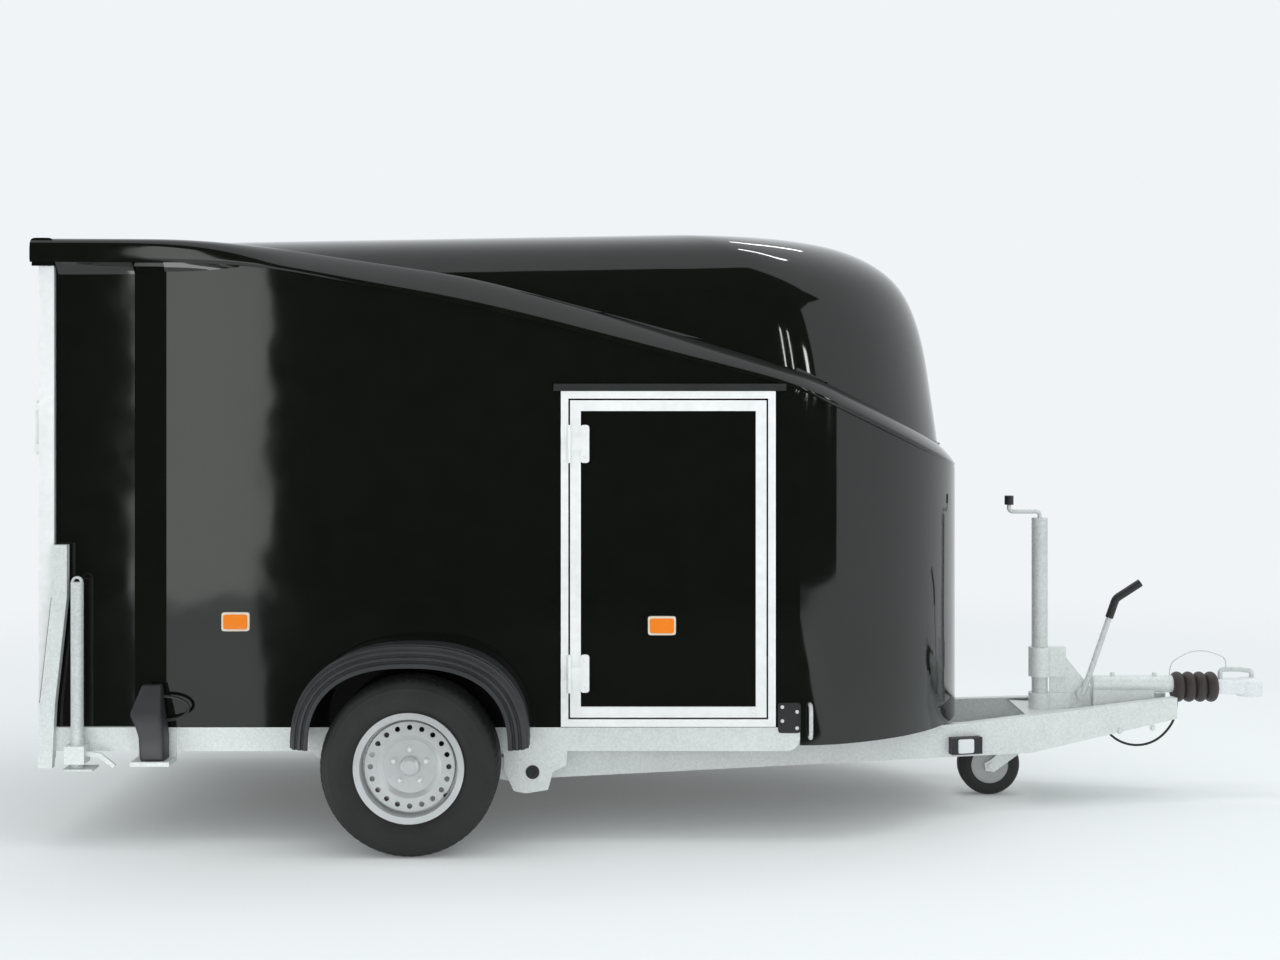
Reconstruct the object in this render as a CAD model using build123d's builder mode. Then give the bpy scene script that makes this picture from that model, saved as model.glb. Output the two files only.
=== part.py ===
import os
from math import atan2, cos, degrees, hypot, radians, sin, tan

from build123d import *

os.makedirs("parts", exist_ok=True)

# Whole trailer: +X forward, +Y left, +Z up, origin on the floor below the middle of the length
front_reach = 3115.0
rear_reach = 1302.0
axle_x = (rear_reach - front_reach) / 2
floor_gap = 8.0
move_gap = 6.0
pin_gap = 0.05

# Body box
body_half = 765.0
wall = 20.0
body_rear = axle_x - rear_reach + 81.0
nose_start = axle_x + 1298.0
nose_share = 0.8392
nose_tip = nose_start + nose_share * body_half
nose_corner = 400.0
nose_bottom = 330.0
inner_half = body_half - wall
inner_tip = nose_tip - wall
inner_corner = nose_corner - wall
rail_bottom = 311.0
rail_height = 80.0
rail_top = rail_bottom + rail_height
rail_width = 60.0
rail_sheet = 4.0
rail_round = 45.0
deck_thick = 18.0
deck_top = rail_top + deck_thick

# Joggle that sets the tail of each side in towards the ramp
joggle_step = 18.0
joggle_rear = body_rear + 271.0
joggle_front = body_rear + 371.0
joggle_bend = 70.0

# Swage ledge that runs from the rear roof edge down round the nose: x from the axle, height, half height
ledge_rows = [
    (-rear_reach, 2005, 41),
    (-763, 2002, 41),
    (-358, 1932, 40),
    (240, 1876, 38),
    (1290, 1580, 27),
    (nose_tip - axle_x + 60, 1232, 27),
]
ledge_out = 15.0
ledge_in = 65.0
ledge_bend = 500.0
ledge_round = 24.0
header_bottom = ledge_rows[0][1] - ledge_rows[0][2]

# Roof moulding sections: height, setback from the body's nose tip, share of the body's half width
roof_rows = [
    (1180, 50, 0.947),
    (1340, 69, 0.942),
    (1500, 92, 0.938),
    (1660, 118, 0.932),
    (1800, 159, 0.917),
    (1910, 224, 0.880),
    (1990, 328, 0.820),
    (2045, 470, 0.724),
    (2078, 678, 0.565),
    (2092, 940, 0.360),
]
roof_corner = 0.53
roof_wall = 15.0
roof_tilt = 1.0
roof_mid = axle_x + 757.0
roof_rear = axle_x - rear_reach + 10.0
roof_back = 65.0


def outline(rear, half, start, tip, corner, step=0.0):
    """Bow-nosed plan outline: straight tail, sides with an optional joggle, corner arcs, front arc."""
    deep = tip - start
    across = half - corner
    front = (deep**2 + across**2 - corner**2) / (2 * (deep - corner))
    turn = atan2(across, start - tip + front)
    join = (tip - front + front * cos(turn), front * sin(turn))
    half_turn = (turn + radians(90)) / 2
    middle = (start + corner * cos(half_turn), across + corner * sin(half_turn))
    Line((rear, half - step), (rear, step - half))
    for side in (-1, 1):
        if step:
            FilletPolyline(
                (rear, side * (half - step)),
                (joggle_rear, side * (half - step)),
                (joggle_front, side * half),
                (start, side * half),
                radius=joggle_bend,
            )
        else:
            Line((rear, side * half), (start, side * half))
        ThreePointArc((start, side * half), (middle[0], side * middle[1]), (join[0], side * join[1]))
    ThreePointArc((join[0], -join[1]), (tip, 0), join)


def ledge_edge(side):
    """Points of the ledge's lower (-1) or upper (+1) edge in the side view."""
    return [(axle_x + x, z + side * half) for x, z, half in ledge_rows]


def slanted(height):
    """Level plane through the roof's middle that falls gently to the rear."""
    lean = radians(roof_tilt)
    forward = (cos(lean), 0, sin(lean))
    upward = (-sin(lean), 0, cos(lean))
    return Plane(origin=(roof_mid, 0, height), x_dir=forward, z_dir=upward)


# Side door
door_left = axle_x + 490.0
door_right = axle_x + 1215.0
door_bottom = 395.0
door_top = 1528.0
door_mid_x = (door_left + door_right) / 2
door_mid_z = (door_bottom + door_top) / 2
door_wide = door_right - door_left
door_high = door_top - door_bottom
jamb_width = 25.0
jamb_proud = 12.0
leaf_width = 36.0
leaf_proud = 10.0
leaf_thick = 30.0
leaf_wide = door_wide - 2 * (jamb_width + move_gap)
leaf_high = door_high - 2 * (jamb_width + move_gap)
hinge_r = 7.0
hinge_pin_r = 4.0
hinge_high = 128.0
hinge_x = door_left + jamb_width + move_gap / 2
hinge_y = -(body_half + jamb_proud + hinge_r + 3.0)
hinge_levels = [door_bottom + 180.0, door_top - 178.0]
strap_thick = 6.0

# Wheels
wheel_z = 294.5
tyre_r = wheel_z
tyre_width = 185.0
rim_r = 182.0
wheel_gap = 35.0
wheel_inner = body_half + wheel_gap
wheel_mid = wheel_inner + tyre_width / 2
stub_r = 16.0
drum_r = 115.0
hub_r = 45.0

# Side rails: folded channels open to the middle, with the front lower corner rounded
with BuildPart() as side_rails:
    with BuildSketch(Plane.XZ.offset(body_half - rail_width)):
        with BuildLine():
            FilletPolyline(
                (body_rear, rail_bottom),
                (nose_start, rail_bottom),
                (nose_start, rail_top),
                radius=rail_round,
            )
            Line((nose_start, rail_top), (body_rear, rail_top))
            Line((body_rear, rail_top), (body_rear, rail_bottom))
        make_face()
    extrude(amount=rail_width)
    rail_mid_y = -(body_half - rail_width / 2 - rail_sheet)
    with Locations(((body_rear + nose_start) / 2, rail_mid_y, rail_bottom + rail_height / 2)):
        Box(
            nose_start - body_rear + 100,
            rail_width,
            rail_height - 2 * rail_sheet,
            mode=Mode.SUBTRACT,
        )
    mirror(about=Plane.XZ)
side_rails.part.label = "side_rails"
export_step(side_rails.part, "parts/side_rails.step")

# Cross members between the rails, with the deeper rear beam: x from the axle, width
cross_rows = [(body_rear - axle_x + 36, 60), (-640, 40), (-60, 40), (560, 40), (1120, 40)]
cross_half = body_half - rail_sheet
with BuildPart() as cross_members:
    for x, width in cross_rows:
        with Locations((axle_x + x, 0, rail_bottom + rail_height / 2)):
            Box(width, 2 * cross_half, rail_height - 2 * rail_sheet)
cross_members.part.label = "cross_members"
export_step(cross_members.part, "parts/cross_members.step")

# Floor deck inside the walls
with BuildPart() as floor_deck:
    with BuildSketch(Plane.XY.offset(rail_top)):
        with BuildLine():
            outline(body_rear, inner_half, nose_start, inner_tip, inner_corner, joggle_step)
        make_face()
    extrude(amount=deck_thick)
floor_deck.part.label = "floor_deck"
export_step(floor_deck.part, "parts/floor_deck.step")

# Side panels: joggled walls with their top edge along the ledge, the right one with the door opening
low = ledge_edge(-1)
high = ledge_edge(1)
sky = 2400.0
with BuildPart() as side_panel_right:
    with BuildSketch(Plane.XY.offset(rail_top)):
        with BuildLine():
            outline(body_rear, body_half, nose_start, nose_tip, nose_corner, joggle_step)
        make_face()
        with BuildLine():
            outline(body_rear, inner_half, nose_start, inner_tip, inner_corner, joggle_step)
        make_face(mode=Mode.SUBTRACT)
        with Locations((nose_start, 0)):
            Rectangle(body_half, 3 * body_half, align=(Align.MIN, Align.CENTER), mode=Mode.SUBTRACT)
        with Locations(((body_rear + nose_start) / 2, 0)):
            Rectangle(nose_start - body_rear, body_half, align=(Align.CENTER, Align.MIN), mode=Mode.SUBTRACT)
    extrude(amount=sky - rail_top)
    with BuildSketch(Plane.XZ):
        with BuildLine():
            FilletPolyline(*low, radius=ledge_bend)
            Polyline(low[-1], (low[-1][0], sky + wall), (low[0][0], sky + wall), low[0])
        make_face()
    extrude(amount=2 * body_half, both=True, mode=Mode.SUBTRACT)
    with BuildSketch(Plane.XZ):
        with Locations((door_mid_x, door_mid_z)):
            Rectangle(door_wide - 2 * jamb_width, door_high - 2 * jamb_width)
    extrude(amount=2 * body_half, mode=Mode.SUBTRACT)
side_panel_right.part.label = "side_panel_right"
export_step(side_panel_right.part, "parts/side_panel_right.step")

with BuildPart() as side_panel_left:
    with BuildSketch(Plane.XY.offset(rail_top)):
        with BuildLine():
            outline(body_rear, body_half, nose_start, nose_tip, nose_corner, joggle_step)
        make_face()
        with BuildLine():
            outline(body_rear, inner_half, nose_start, inner_tip, inner_corner, joggle_step)
        make_face(mode=Mode.SUBTRACT)
        with Locations((nose_start, 0)):
            Rectangle(body_half, 3 * body_half, align=(Align.MIN, Align.CENTER), mode=Mode.SUBTRACT)
        with Locations(((body_rear + nose_start) / 2, 0)):
            Rectangle(nose_start - body_rear, body_half, align=(Align.CENTER, Align.MAX), mode=Mode.SUBTRACT)
    extrude(amount=sky - rail_top)
    with BuildSketch(Plane.XZ):
        with BuildLine():
            FilletPolyline(*low, radius=ledge_bend)
            Polyline(low[-1], (low[-1][0], sky + wall), (low[0][0], sky + wall), low[0])
        make_face()
    extrude(amount=2 * body_half, both=True, mode=Mode.SUBTRACT)
side_panel_left.part.label = "side_panel_left"
export_step(side_panel_left.part, "parts/side_panel_left.step")

# Lower nose moulding, bowed in plan, with its top edge along the ledge
with BuildPart() as nose_shell:
    with BuildSketch(Plane.XY.offset(nose_bottom)):
        with BuildLine():
            outline(nose_start - 2 * wall, body_half, nose_start, nose_tip, nose_corner)
        make_face()
        with BuildLine():
            outline(nose_start - 3 * wall, inner_half, nose_start, inner_tip, inner_corner)
        make_face(mode=Mode.SUBTRACT)
        with Locations((nose_start, 0)):
            Rectangle(4 * wall, 3 * body_half, align=(Align.MAX, Align.CENTER), mode=Mode.SUBTRACT)
    extrude(amount=sky - nose_bottom)
    with BuildSketch(Plane.XZ):
        with BuildLine():
            FilletPolyline(*low, radius=ledge_bend)
            Polyline(low[-1], (low[-1][0], sky + wall), (low[0][0], sky + wall), low[0])
        make_face()
    extrude(amount=2 * body_half, both=True, mode=Mode.SUBTRACT)
nose_shell.part.label = "nose_shell"
export_step(nose_shell.part, "parts/nose_shell.step")

# Ledge ring between the lower body and the roof, with the rear header
with BuildPart() as body_ledge:
    with BuildSketch(Plane.XY.offset(ledge_rows[-1][1] - 2 * ledge_in)):
        with BuildLine():
            outline(axle_x - rear_reach, body_half + ledge_out, nose_start, nose_tip, nose_corner)
        make_face()
        with BuildLine():
            outline(body_rear, body_half - ledge_in, nose_start, nose_tip - ledge_in, nose_corner - ledge_in)
        make_face(mode=Mode.SUBTRACT)
    extrude(amount=sky - ledge_rows[-1][1])
    with BuildSketch(Plane.XZ):
        with BuildLine():
            FilletPolyline(*low, radius=ledge_bend)
            FilletPolyline(*high, radius=ledge_bend)
            Line(low[0], high[0])
            Line(low[-1], high[-1])
        make_face()
    extrude(amount=2 * body_half, both=True, mode=Mode.INTERSECT)
    rim_y = -body_half - ledge_out
    rim_edges = body_ledge.edges().filter_by_position(Axis.Y, rim_y - 1, rim_y + 1)
    top_edge = rim_edges.sort_by(Axis.Z)[-1]
    fillet(top_edge, ledge_round)
body_ledge.part.label = "body_ledge"
export_step(body_ledge.part, "parts/body_ledge.step")

# Roof moulding above the ledge: a hollow dome on a shoulder that reaches the ledge ring
shoulder = [(x, z - roof_wall) for x, z in high]
with BuildPart() as roof_shell:
    for height, setback, share in roof_rows:
        half = share * body_half
        tip = nose_tip - setback
        with BuildSketch(slanted(height)):
            with BuildLine():
                outline(
                    roof_rear - roof_mid,
                    half,
                    tip - nose_share * half - roof_mid,
                    tip - roof_mid,
                    roof_corner * half,
                )
            make_face()
    loft()
    with BuildSketch(Plane.XZ):
        with BuildLine():
            FilletPolyline(*high, radius=ledge_bend)
            Polyline(high[-1], (high[-1][0], nose_bottom), (high[0][0], nose_bottom), high[0])
        make_face()
    extrude(amount=2 * body_half, both=True, mode=Mode.SUBTRACT)
    with BuildSketch(Plane.XZ.offset(ledge_in - body_half)):
        with BuildLine():
            FilletPolyline(*high[:5], radius=ledge_bend)
            FilletPolyline(*shoulder[:5], radius=ledge_bend)
            Line(high[0], shoulder[0])
            Line(high[4], shoulder[4])
        make_face()
        with Locations((body_rear, ledge_rows[0][1])):
            Rectangle(rear_reach, 10 * ledge_in, align=(Align.MAX, Align.CENTER), mode=Mode.SUBTRACT)
    extrude(amount=2 * (body_half - ledge_in))
    for height, setback, share in roof_rows:
        half = share * body_half
        tip = nose_tip - setback
        with BuildSketch(slanted(height - roof_wall)):
            with BuildLine():
                outline(
                    roof_rear + roof_back - roof_mid,
                    half - roof_wall,
                    tip - nose_share * half - roof_mid,
                    tip - roof_wall - roof_mid,
                    roof_corner * half - roof_wall,
                )
            make_face()
    loft(mode=Mode.SUBTRACT)
roof_shell.part.label = "roof_shell"
export_step(roof_shell.part, "parts/roof_shell.step")

# Fixed door frame: a proud ring that also lines the opening, with the fixed hinge knuckles and pins
knuckle_high = (hinge_high - 45.0) / 2
with BuildPart() as door_frame:
    with BuildSketch(Plane.XZ.offset(body_half)):
        with Locations((door_mid_x, door_mid_z)):
            Rectangle(door_wide, door_high)
            Rectangle(door_wide - 2 * jamb_width, door_high - 2 * jamb_width, mode=Mode.SUBTRACT)
    extrude(amount=jamb_proud)
    for level in hinge_levels:
        with BuildSketch(Plane.XY.offset(level - hinge_high / 2)):
            with Locations((hinge_x, hinge_y)):
                Circle(hinge_r)
            with Locations(((door_left + hinge_x) / 2, -(body_half + jamb_proud + strap_thick / 2))):
                Rectangle(hinge_x - door_left, strap_thick)
        extrude(amount=knuckle_high)
        with BuildSketch(Plane.XY.offset(level + hinge_high / 2 - knuckle_high)):
            with Locations((hinge_x, hinge_y)):
                Circle(hinge_r)
            with Locations(((door_left + hinge_x) / 2, -(body_half + jamb_proud + strap_thick / 2))):
                Rectangle(hinge_x - door_left, strap_thick)
        extrude(amount=knuckle_high)
        with BuildSketch(Plane.XY.offset(level - hinge_high / 2)):
            with Locations((hinge_x, hinge_y)):
                Circle(hinge_pin_r)
        extrude(amount=hinge_high)
door_frame.part.label = "door_frame"
export_step(door_frame.part, "parts/door_frame.step")

# Door leaf: framed ring and the dark panel within it
leaf_back = body_half + leaf_proud - leaf_thick
with BuildPart() as door_leaf:
    with BuildSketch(Plane.XZ.offset(leaf_back)):
        with Locations((door_mid_x, door_mid_z)):
            Rectangle(leaf_wide, leaf_high)
            Rectangle(leaf_wide - 2 * leaf_width, leaf_high - 2 * leaf_width, mode=Mode.SUBTRACT)
    extrude(amount=leaf_thick)
door_leaf.part.label = "door_leaf"
export_step(door_leaf.part, "parts/door_leaf.step")

panel_thick = 22.0
with BuildPart() as door_panel:
    with BuildSketch(Plane.XZ.offset(leaf_back)):
        with Locations((door_mid_x, door_mid_z)):
            Rectangle(leaf_wide - 2 * leaf_width, leaf_high - 2 * leaf_width)
    extrude(amount=panel_thick)
door_panel.part.label = "door_panel"
export_step(door_panel.part, "parts/door_panel.step")

# Moving hinge straps: middle knuckle on the pin and a plate over the leaf frame
strap_wide = 30.0
strap_x = door_left + jamb_width + move_gap + leaf_width + strap_wide / 2 - 1.0
strap_y = -(body_half + leaf_proud + strap_thick / 2)
middle_high = hinge_high - 2 * knuckle_high - 2 * 0.5
with BuildPart() as door_hinges:
    for level in hinge_levels:
        with BuildSketch(Plane.XY.offset(level - middle_high / 2)):
            with Locations((hinge_x, hinge_y)):
                Circle(hinge_r)
            with Locations(((hinge_x + strap_x) / 2, strap_y)):
                Rectangle(strap_x - hinge_x, strap_thick)
            with Locations((hinge_x, hinge_y)):
                Circle(hinge_pin_r + pin_gap, mode=Mode.SUBTRACT)
        extrude(amount=middle_high)
        with BuildSketch(Plane.XZ.offset(body_half + leaf_proud)):
            with Locations((strap_x, level)):
                RectangleRounded(strap_wide, hinge_high, strap_wide / 3)
        extrude(amount=strap_thick)
door_hinges.part.label = "door_hinges"
export_step(door_hinges.part, "parts/door_hinges.step")

# Drip strip above the door
with BuildPart() as drip_strip:
    with Locations((axle_x + 858, -(body_half + 7), door_top + 13)):
        Box(786, 14, 24)
drip_strip.part.label = "drip_strip"
export_step(drip_strip.part, "parts/drip_strip.step")

# Marker lamps: lens blocks on the sides and one on the door
marker_wide = 95.0
marker_high = 64.0
marker_thick = 14.0
marker_rear_x = axle_x - 609.0
marker_front_x = axle_x + 831.0
marker_z = 749.0
door_marker_z = 736.0
with BuildPart() as side_markers:
    for side in (-1, 1):
        with Locations((marker_rear_x, side * (body_half + marker_thick / 2), marker_z)):
            Box(marker_wide, marker_thick, marker_high)
    with Locations((marker_front_x, body_half + marker_thick / 2, door_marker_z)):
        Box(marker_wide, marker_thick, marker_high)
side_markers.part.label = "side_markers"
export_step(side_markers.part, "parts/side_markers.step")

with BuildPart() as door_marker:
    with Locations((marker_front_x, -(leaf_back + panel_thick + marker_thick / 2), door_marker_z)):
        Box(marker_wide, marker_thick, marker_high)
door_marker.part.label = "door_marker"
export_step(door_marker.part, "parts/door_marker.step")

# Fenders: arched shells with a deep outer lip round the wheel, ribbed along the arch
fender_half = 386.0
fender_top = 717.0
fender_foot = 358.0
fender_out = wheel_inner + tyre_width + 15.0
fender_sheet = 5.0
lip_r = 347.0
rib_high = 6.0
rib_rows = [(8, 24), (40, 56)]
fender_face = fender_out - rib_high
with BuildPart() as fenders:
    with BuildSketch(Plane.XZ.offset(body_half)):
        with BuildLine():
            FilletPolyline(
                (axle_x - fender_half, fender_foot),
                (axle_x - fender_half + 18, fender_foot + 80),
                (axle_x - 190, fender_top),
                (axle_x + 205, fender_top),
                (axle_x + fender_half, fender_foot + 165),
                (axle_x + fender_half, fender_foot),
                radius=[60, 180, 180, 100],
            )
            Line((axle_x + fender_half, fender_foot), (axle_x - fender_half, fender_foot))
        arch = make_face()
    extrude(amount=fender_face - body_half)
    for near, far in rib_rows:
        with BuildSketch(Plane.XZ.offset(fender_face)):
            add(arch)
            offset(amount=-near, mode=Mode.REPLACE)
        extrude(amount=rib_high)
        with BuildSketch(Plane.XZ.offset(fender_face)):
            add(arch)
            offset(amount=-far, mode=Mode.REPLACE)
        extrude(amount=rib_high, mode=Mode.SUBTRACT)
    with BuildSketch(Plane.XZ.offset(body_half - 1)):
        add(arch)
        offset(amount=-fender_sheet, mode=Mode.REPLACE)
        with Locations((axle_x, fender_foot)):
            Rectangle(2 * (fender_half - 3 * fender_sheet), 60)
    extrude(amount=fender_face - body_half + 1 - fender_sheet, mode=Mode.SUBTRACT)
    with BuildSketch(Plane.XZ.offset(body_half - 1)):
        with Locations((axle_x, wheel_z)):
            Circle(lip_r)
    extrude(amount=fender_out - body_half + 2, mode=Mode.SUBTRACT)
    mirror(about=Plane.XZ)
fenders.part.label = "fenders"
export_step(fenders.part, "parts/fenders.step")

# Trailing suspension: cheek brackets under the rails and arms with stub axles
pivot_x = axle_x + 394.0
pivot_z = 240.0
pivot_r = 24.0
cheek_thick = 8.0
stay_thick = 6.0
cheek_out = body_half
cheek_in = body_half - rail_width
with BuildPart() as suspension_brackets:
    for place in (cheek_in, cheek_out - cheek_thick):
        with BuildSketch(Plane.XZ.offset(place)):
            with BuildLine():
                Polyline(
                    (axle_x + 296, rail_bottom),
                    (axle_x + 511, rail_bottom),
                    (axle_x + 508, 262),
                    (axle_x + 462, 240),
                    (axle_x + 446, 180),
                    (axle_x + 372, 168),
                    (axle_x + 330, 176),
                    (axle_x + 296, 250),
                    close=True,
                )
            make_face()
            with Locations((pivot_x, pivot_z)):
                Circle(pivot_r, mode=Mode.SUBTRACT)
        extrude(amount=cheek_thick)
    with BuildSketch(Plane.XZ.offset(body_half)):
        with BuildLine():
            Polyline(
                (axle_x - 362, rail_bottom + 8),
                (axle_x - 290, rail_top),
                (axle_x - 276, rail_top),
                (axle_x - 300, rail_bottom),
                (axle_x - 330, rail_bottom - 22),
                close=True,
            )
        make_face()
    extrude(amount=stay_thick)
    mirror(about=Plane.XZ)
suspension_brackets.part.label = "suspension_brackets"
export_step(suspension_brackets.part, "parts/suspension_brackets.step")

arm_in = cheek_in + cheek_thick
arm_out = cheek_out - cheek_thick
stub_end = wheel_mid + 25.0
with BuildPart() as suspension_arms:
    with BuildSketch(Plane.XZ.offset(arm_in)):
        with BuildLine():
            Polyline(
                (axle_x - 40, wheel_z - 30),
                (axle_x + 60, wheel_z - 38),
                (pivot_x - 20, pivot_z - 42),
                (pivot_x + 40, pivot_z - 36),
                (pivot_x + 46, pivot_z + 20),
                (pivot_x - 10, pivot_z + 42),
                (axle_x + 60, rail_bottom - 2),
                (axle_x - 40, rail_bottom - 2),
                close=True,
            )
        make_face()
    extrude(amount=arm_out - arm_in)
    with BuildSketch(Plane.XZ.offset(cheek_in)):
        with Locations((pivot_x, pivot_z)):
            Circle(pivot_r)
            Circle(pivot_r - 8, mode=Mode.SUBTRACT)
    extrude(amount=cheek_out - cheek_in)
    with BuildSketch(Plane.XZ.offset(arm_out)):
        with Locations((axle_x, wheel_z)):
            Circle(stub_r)
    extrude(amount=stub_end - arm_out)
    mirror(about=Plane.XZ)
suspension_arms.part.label = "suspension_arms"
export_step(suspension_arms.part, "parts/suspension_arms.step")

# Wheels: tyre, dished steel rim and hub with brake drum, right side then mirrored
bead = 16.0
# half of the tyre's section: inset from its side, radius
tyre_rows = [
    (bead, rim_r - bead),
    (bead, rim_r + 4),
    (4, rim_r + 24),
    (0, rim_r + 48),
    (6, tyre_r - 26),
    (18, tyre_r - 8),
    (36, tyre_r),
]
with BuildPart() as tyre_right:
    with BuildSketch(Plane.YZ.offset(axle_x)):
        with BuildLine():
            inner_side = [(-wheel_inner - inset, wheel_z + r) for inset, r in tyre_rows]
            outer_side = [(-wheel_inner - tyre_width + inset, wheel_z + r) for inset, r in tyre_rows]
            Polyline(*inner_side, *reversed(outer_side), close=True)
        make_face()
    revolve(axis=Axis((axle_x, 0, wheel_z), (0, 1, 0)))
tyre_right.part.label = "tyre_right"
export_step(tyre_right.part, "parts/tyre_right.step")

seat_r = rim_r - bead
disc_y = -(wheel_mid + 38.0)
disc_thick = 6.0
dish = 12.0
vents = 20
vent_r = 8.8
vent_ring = 129.0
with BuildPart() as rim_right:
    with BuildSketch(Plane.YZ.offset(axle_x)):
        with BuildLine():
            Polyline(
                (-wheel_inner - 10, wheel_z + rim_r),
                (-wheel_inner - bead, wheel_z + rim_r),
                (-wheel_inner - bead, wheel_z + seat_r),
                (-wheel_inner - tyre_width + bead, wheel_z + seat_r),
                (-wheel_inner - tyre_width + bead, wheel_z + rim_r),
                (-wheel_inner - tyre_width + 10, wheel_z + rim_r),
                (-wheel_inner - tyre_width + 10, wheel_z + seat_r - 5),
                (disc_y + dish, wheel_z + seat_r - 8),
                (disc_y + dish, wheel_z + seat_r - 15),
                (disc_y - dish, wheel_z + seat_r - 18),
                (disc_y - dish, wheel_z + 104),
                (disc_y, wheel_z + 88),
                (disc_y, wheel_z + 34),
                (disc_y - 20, wheel_z + 30),
                (disc_y - 26, wheel_z + 22),
                (disc_y - 26, wheel_z),
                (disc_y + disc_thick, wheel_z),
                (disc_y + disc_thick, wheel_z + 90),
                (disc_y - dish + disc_thick, wheel_z + 108),
                (disc_y - dish + disc_thick, wheel_z + seat_r - 24),
                (disc_y + dish + disc_thick, wheel_z + seat_r - 20),
                (disc_y + dish + disc_thick, wheel_z + seat_r - 8),
                (-wheel_inner - 10, wheel_z + seat_r - 5),
                close=True,
            )
        make_face()
    revolve(axis=Axis((axle_x, 0, wheel_z), (0, 1, 0)))
    with BuildSketch(Plane.XZ.offset(-disc_y)):
        with Locations((axle_x, wheel_z)):
            with PolarLocations(vent_ring, vents):
                Circle(vent_r)
    extrude(amount=2 * dish, both=True, mode=Mode.SUBTRACT)
rim_right.part.label = "rim_right"
export_step(rim_right.part, "parts/rim_right.step")

drum_in = body_half + 12.0
drum_deep = 70.0
hub_face = -disc_y - disc_thick
with BuildPart() as hub_right:
    with BuildSketch(Plane.YZ.offset(axle_x)):
        with BuildLine():
            Polyline(
                (-drum_in, wheel_z + drum_r),
                (-drum_in - drum_deep, wheel_z + drum_r),
                (-drum_in - drum_deep, wheel_z + hub_r + 20),
                (-hub_face, wheel_z + hub_r + 20),
                (-hub_face, wheel_z),
                (-stub_end - 1, wheel_z),
                (-stub_end - 1, wheel_z + stub_r + pin_gap),
                (-drum_in, wheel_z + stub_r + pin_gap),
                close=True,
            )
        make_face()
    revolve(axis=Axis((axle_x, 0, wheel_z), (0, 1, 0)))
hub_right.part.label = "hub_right"
export_step(hub_right.part, "parts/hub_right.step")

with BuildPart() as tyre_left:
    mirror(tyre_right.part, about=Plane.XZ)
tyre_left.part.label = "tyre_left"
export_step(tyre_left.part, "parts/tyre_left.step")

with BuildPart() as rim_left:
    mirror(rim_right.part, about=Plane.XZ)
rim_left.part.label = "rim_left"
export_step(rim_left.part, "parts/rim_left.step")

with BuildPart() as hub_left:
    mirror(hub_right.part, about=Plane.XZ)
hub_left.part.label = "hub_left"
export_step(hub_left.part, "parts/hub_left.step")

# Drawbar: two folded channel arms that meet at the coupling, x from the axle
bar_rear_x = axle_x + 300.0
bar_rear_y = body_half - 100.0
bar_front_x = axle_x + 2766.0
bar_front_y = 62.0
bar_width = 40.0
bar_sheet = 5.0
bar_bottom = 197.0
bar_top = rail_bottom + rail_sheet
bar_angle = degrees(atan2(bar_rear_y - bar_front_y, bar_front_x - bar_rear_x))
bar_long = hypot(bar_front_x - bar_rear_x, bar_rear_y - bar_front_y)
bar_ratio = bar_long / (bar_front_x - bar_rear_x)
bar_rise = 375.0
bar_bend = 1950.0
bar_lift = 2190.0
bar_side = [
    (0, rail_bottom - 60),
    (150, bar_bottom),
    ((axle_x + bar_lift - bar_rear_x) * bar_ratio, bar_bottom),
    (bar_long, 297),
    (bar_long, bar_rise),
    ((axle_x + bar_bend - bar_rear_x) * bar_ratio, bar_top),
    (0, bar_top),
]
bar_plane = Plane(
    origin=(bar_rear_x, -bar_rear_y, 0),
    x_dir=(cos(radians(bar_angle)), sin(radians(bar_angle)), 0),
    z_dir=(sin(radians(bar_angle)), -cos(radians(bar_angle)), 0),
)
with BuildPart() as drawbar_arms:
    with BuildSketch(bar_plane.offset(-bar_width / 2)):
        with BuildLine():
            Polyline(*bar_side, close=True)
        make_face()
    extrude(amount=bar_width)
    with BuildSketch(bar_plane.offset(-bar_width / 2)):
        with BuildLine():
            Polyline(*bar_side, close=True)
        make_face()
        offset(amount=-bar_sheet, mode=Mode.REPLACE)
    extrude(amount=bar_width - bar_sheet, mode=Mode.SUBTRACT)
    mirror(about=Plane.XZ)
drawbar_arms.part.label = "drawbar_arms"
export_step(drawbar_arms.part, "parts/drawbar_arms.step")


def bar_web(x):
    """Half gap between the webs of the drawbar arms at x."""
    middle = bar_rear_y - (x - bar_rear_x) * tan(radians(bar_angle))
    return middle + (bar_width / 2 - bar_sheet) / cos(radians(bar_angle))


# Drawbar plate between the arms
plate_rear = axle_x + 2190.0
plate_front = bar_front_x - 66.0
plate_z = 316.0
plate_thick = 8.0
jockey_x = axle_x + 2272.0
jockey_r = 30.0
with BuildPart() as drawbar_plate:
    with BuildSketch(Plane.XY.offset(plate_z)):
        with BuildLine():
            Polyline(
                (plate_rear, -bar_web(plate_rear)),
                (plate_front, -bar_web(plate_front)),
                (plate_front, bar_web(plate_front)),
                (plate_rear, bar_web(plate_rear)),
                close=True,
            )
        make_face()
        with Locations((jockey_x, 0)):
            Circle(jockey_r, mode=Mode.SUBTRACT)
    extrude(amount=plate_thick)
drawbar_plate.part.label = "drawbar_plate"
export_step(drawbar_plate.part, "parts/drawbar_plate.step")

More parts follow.
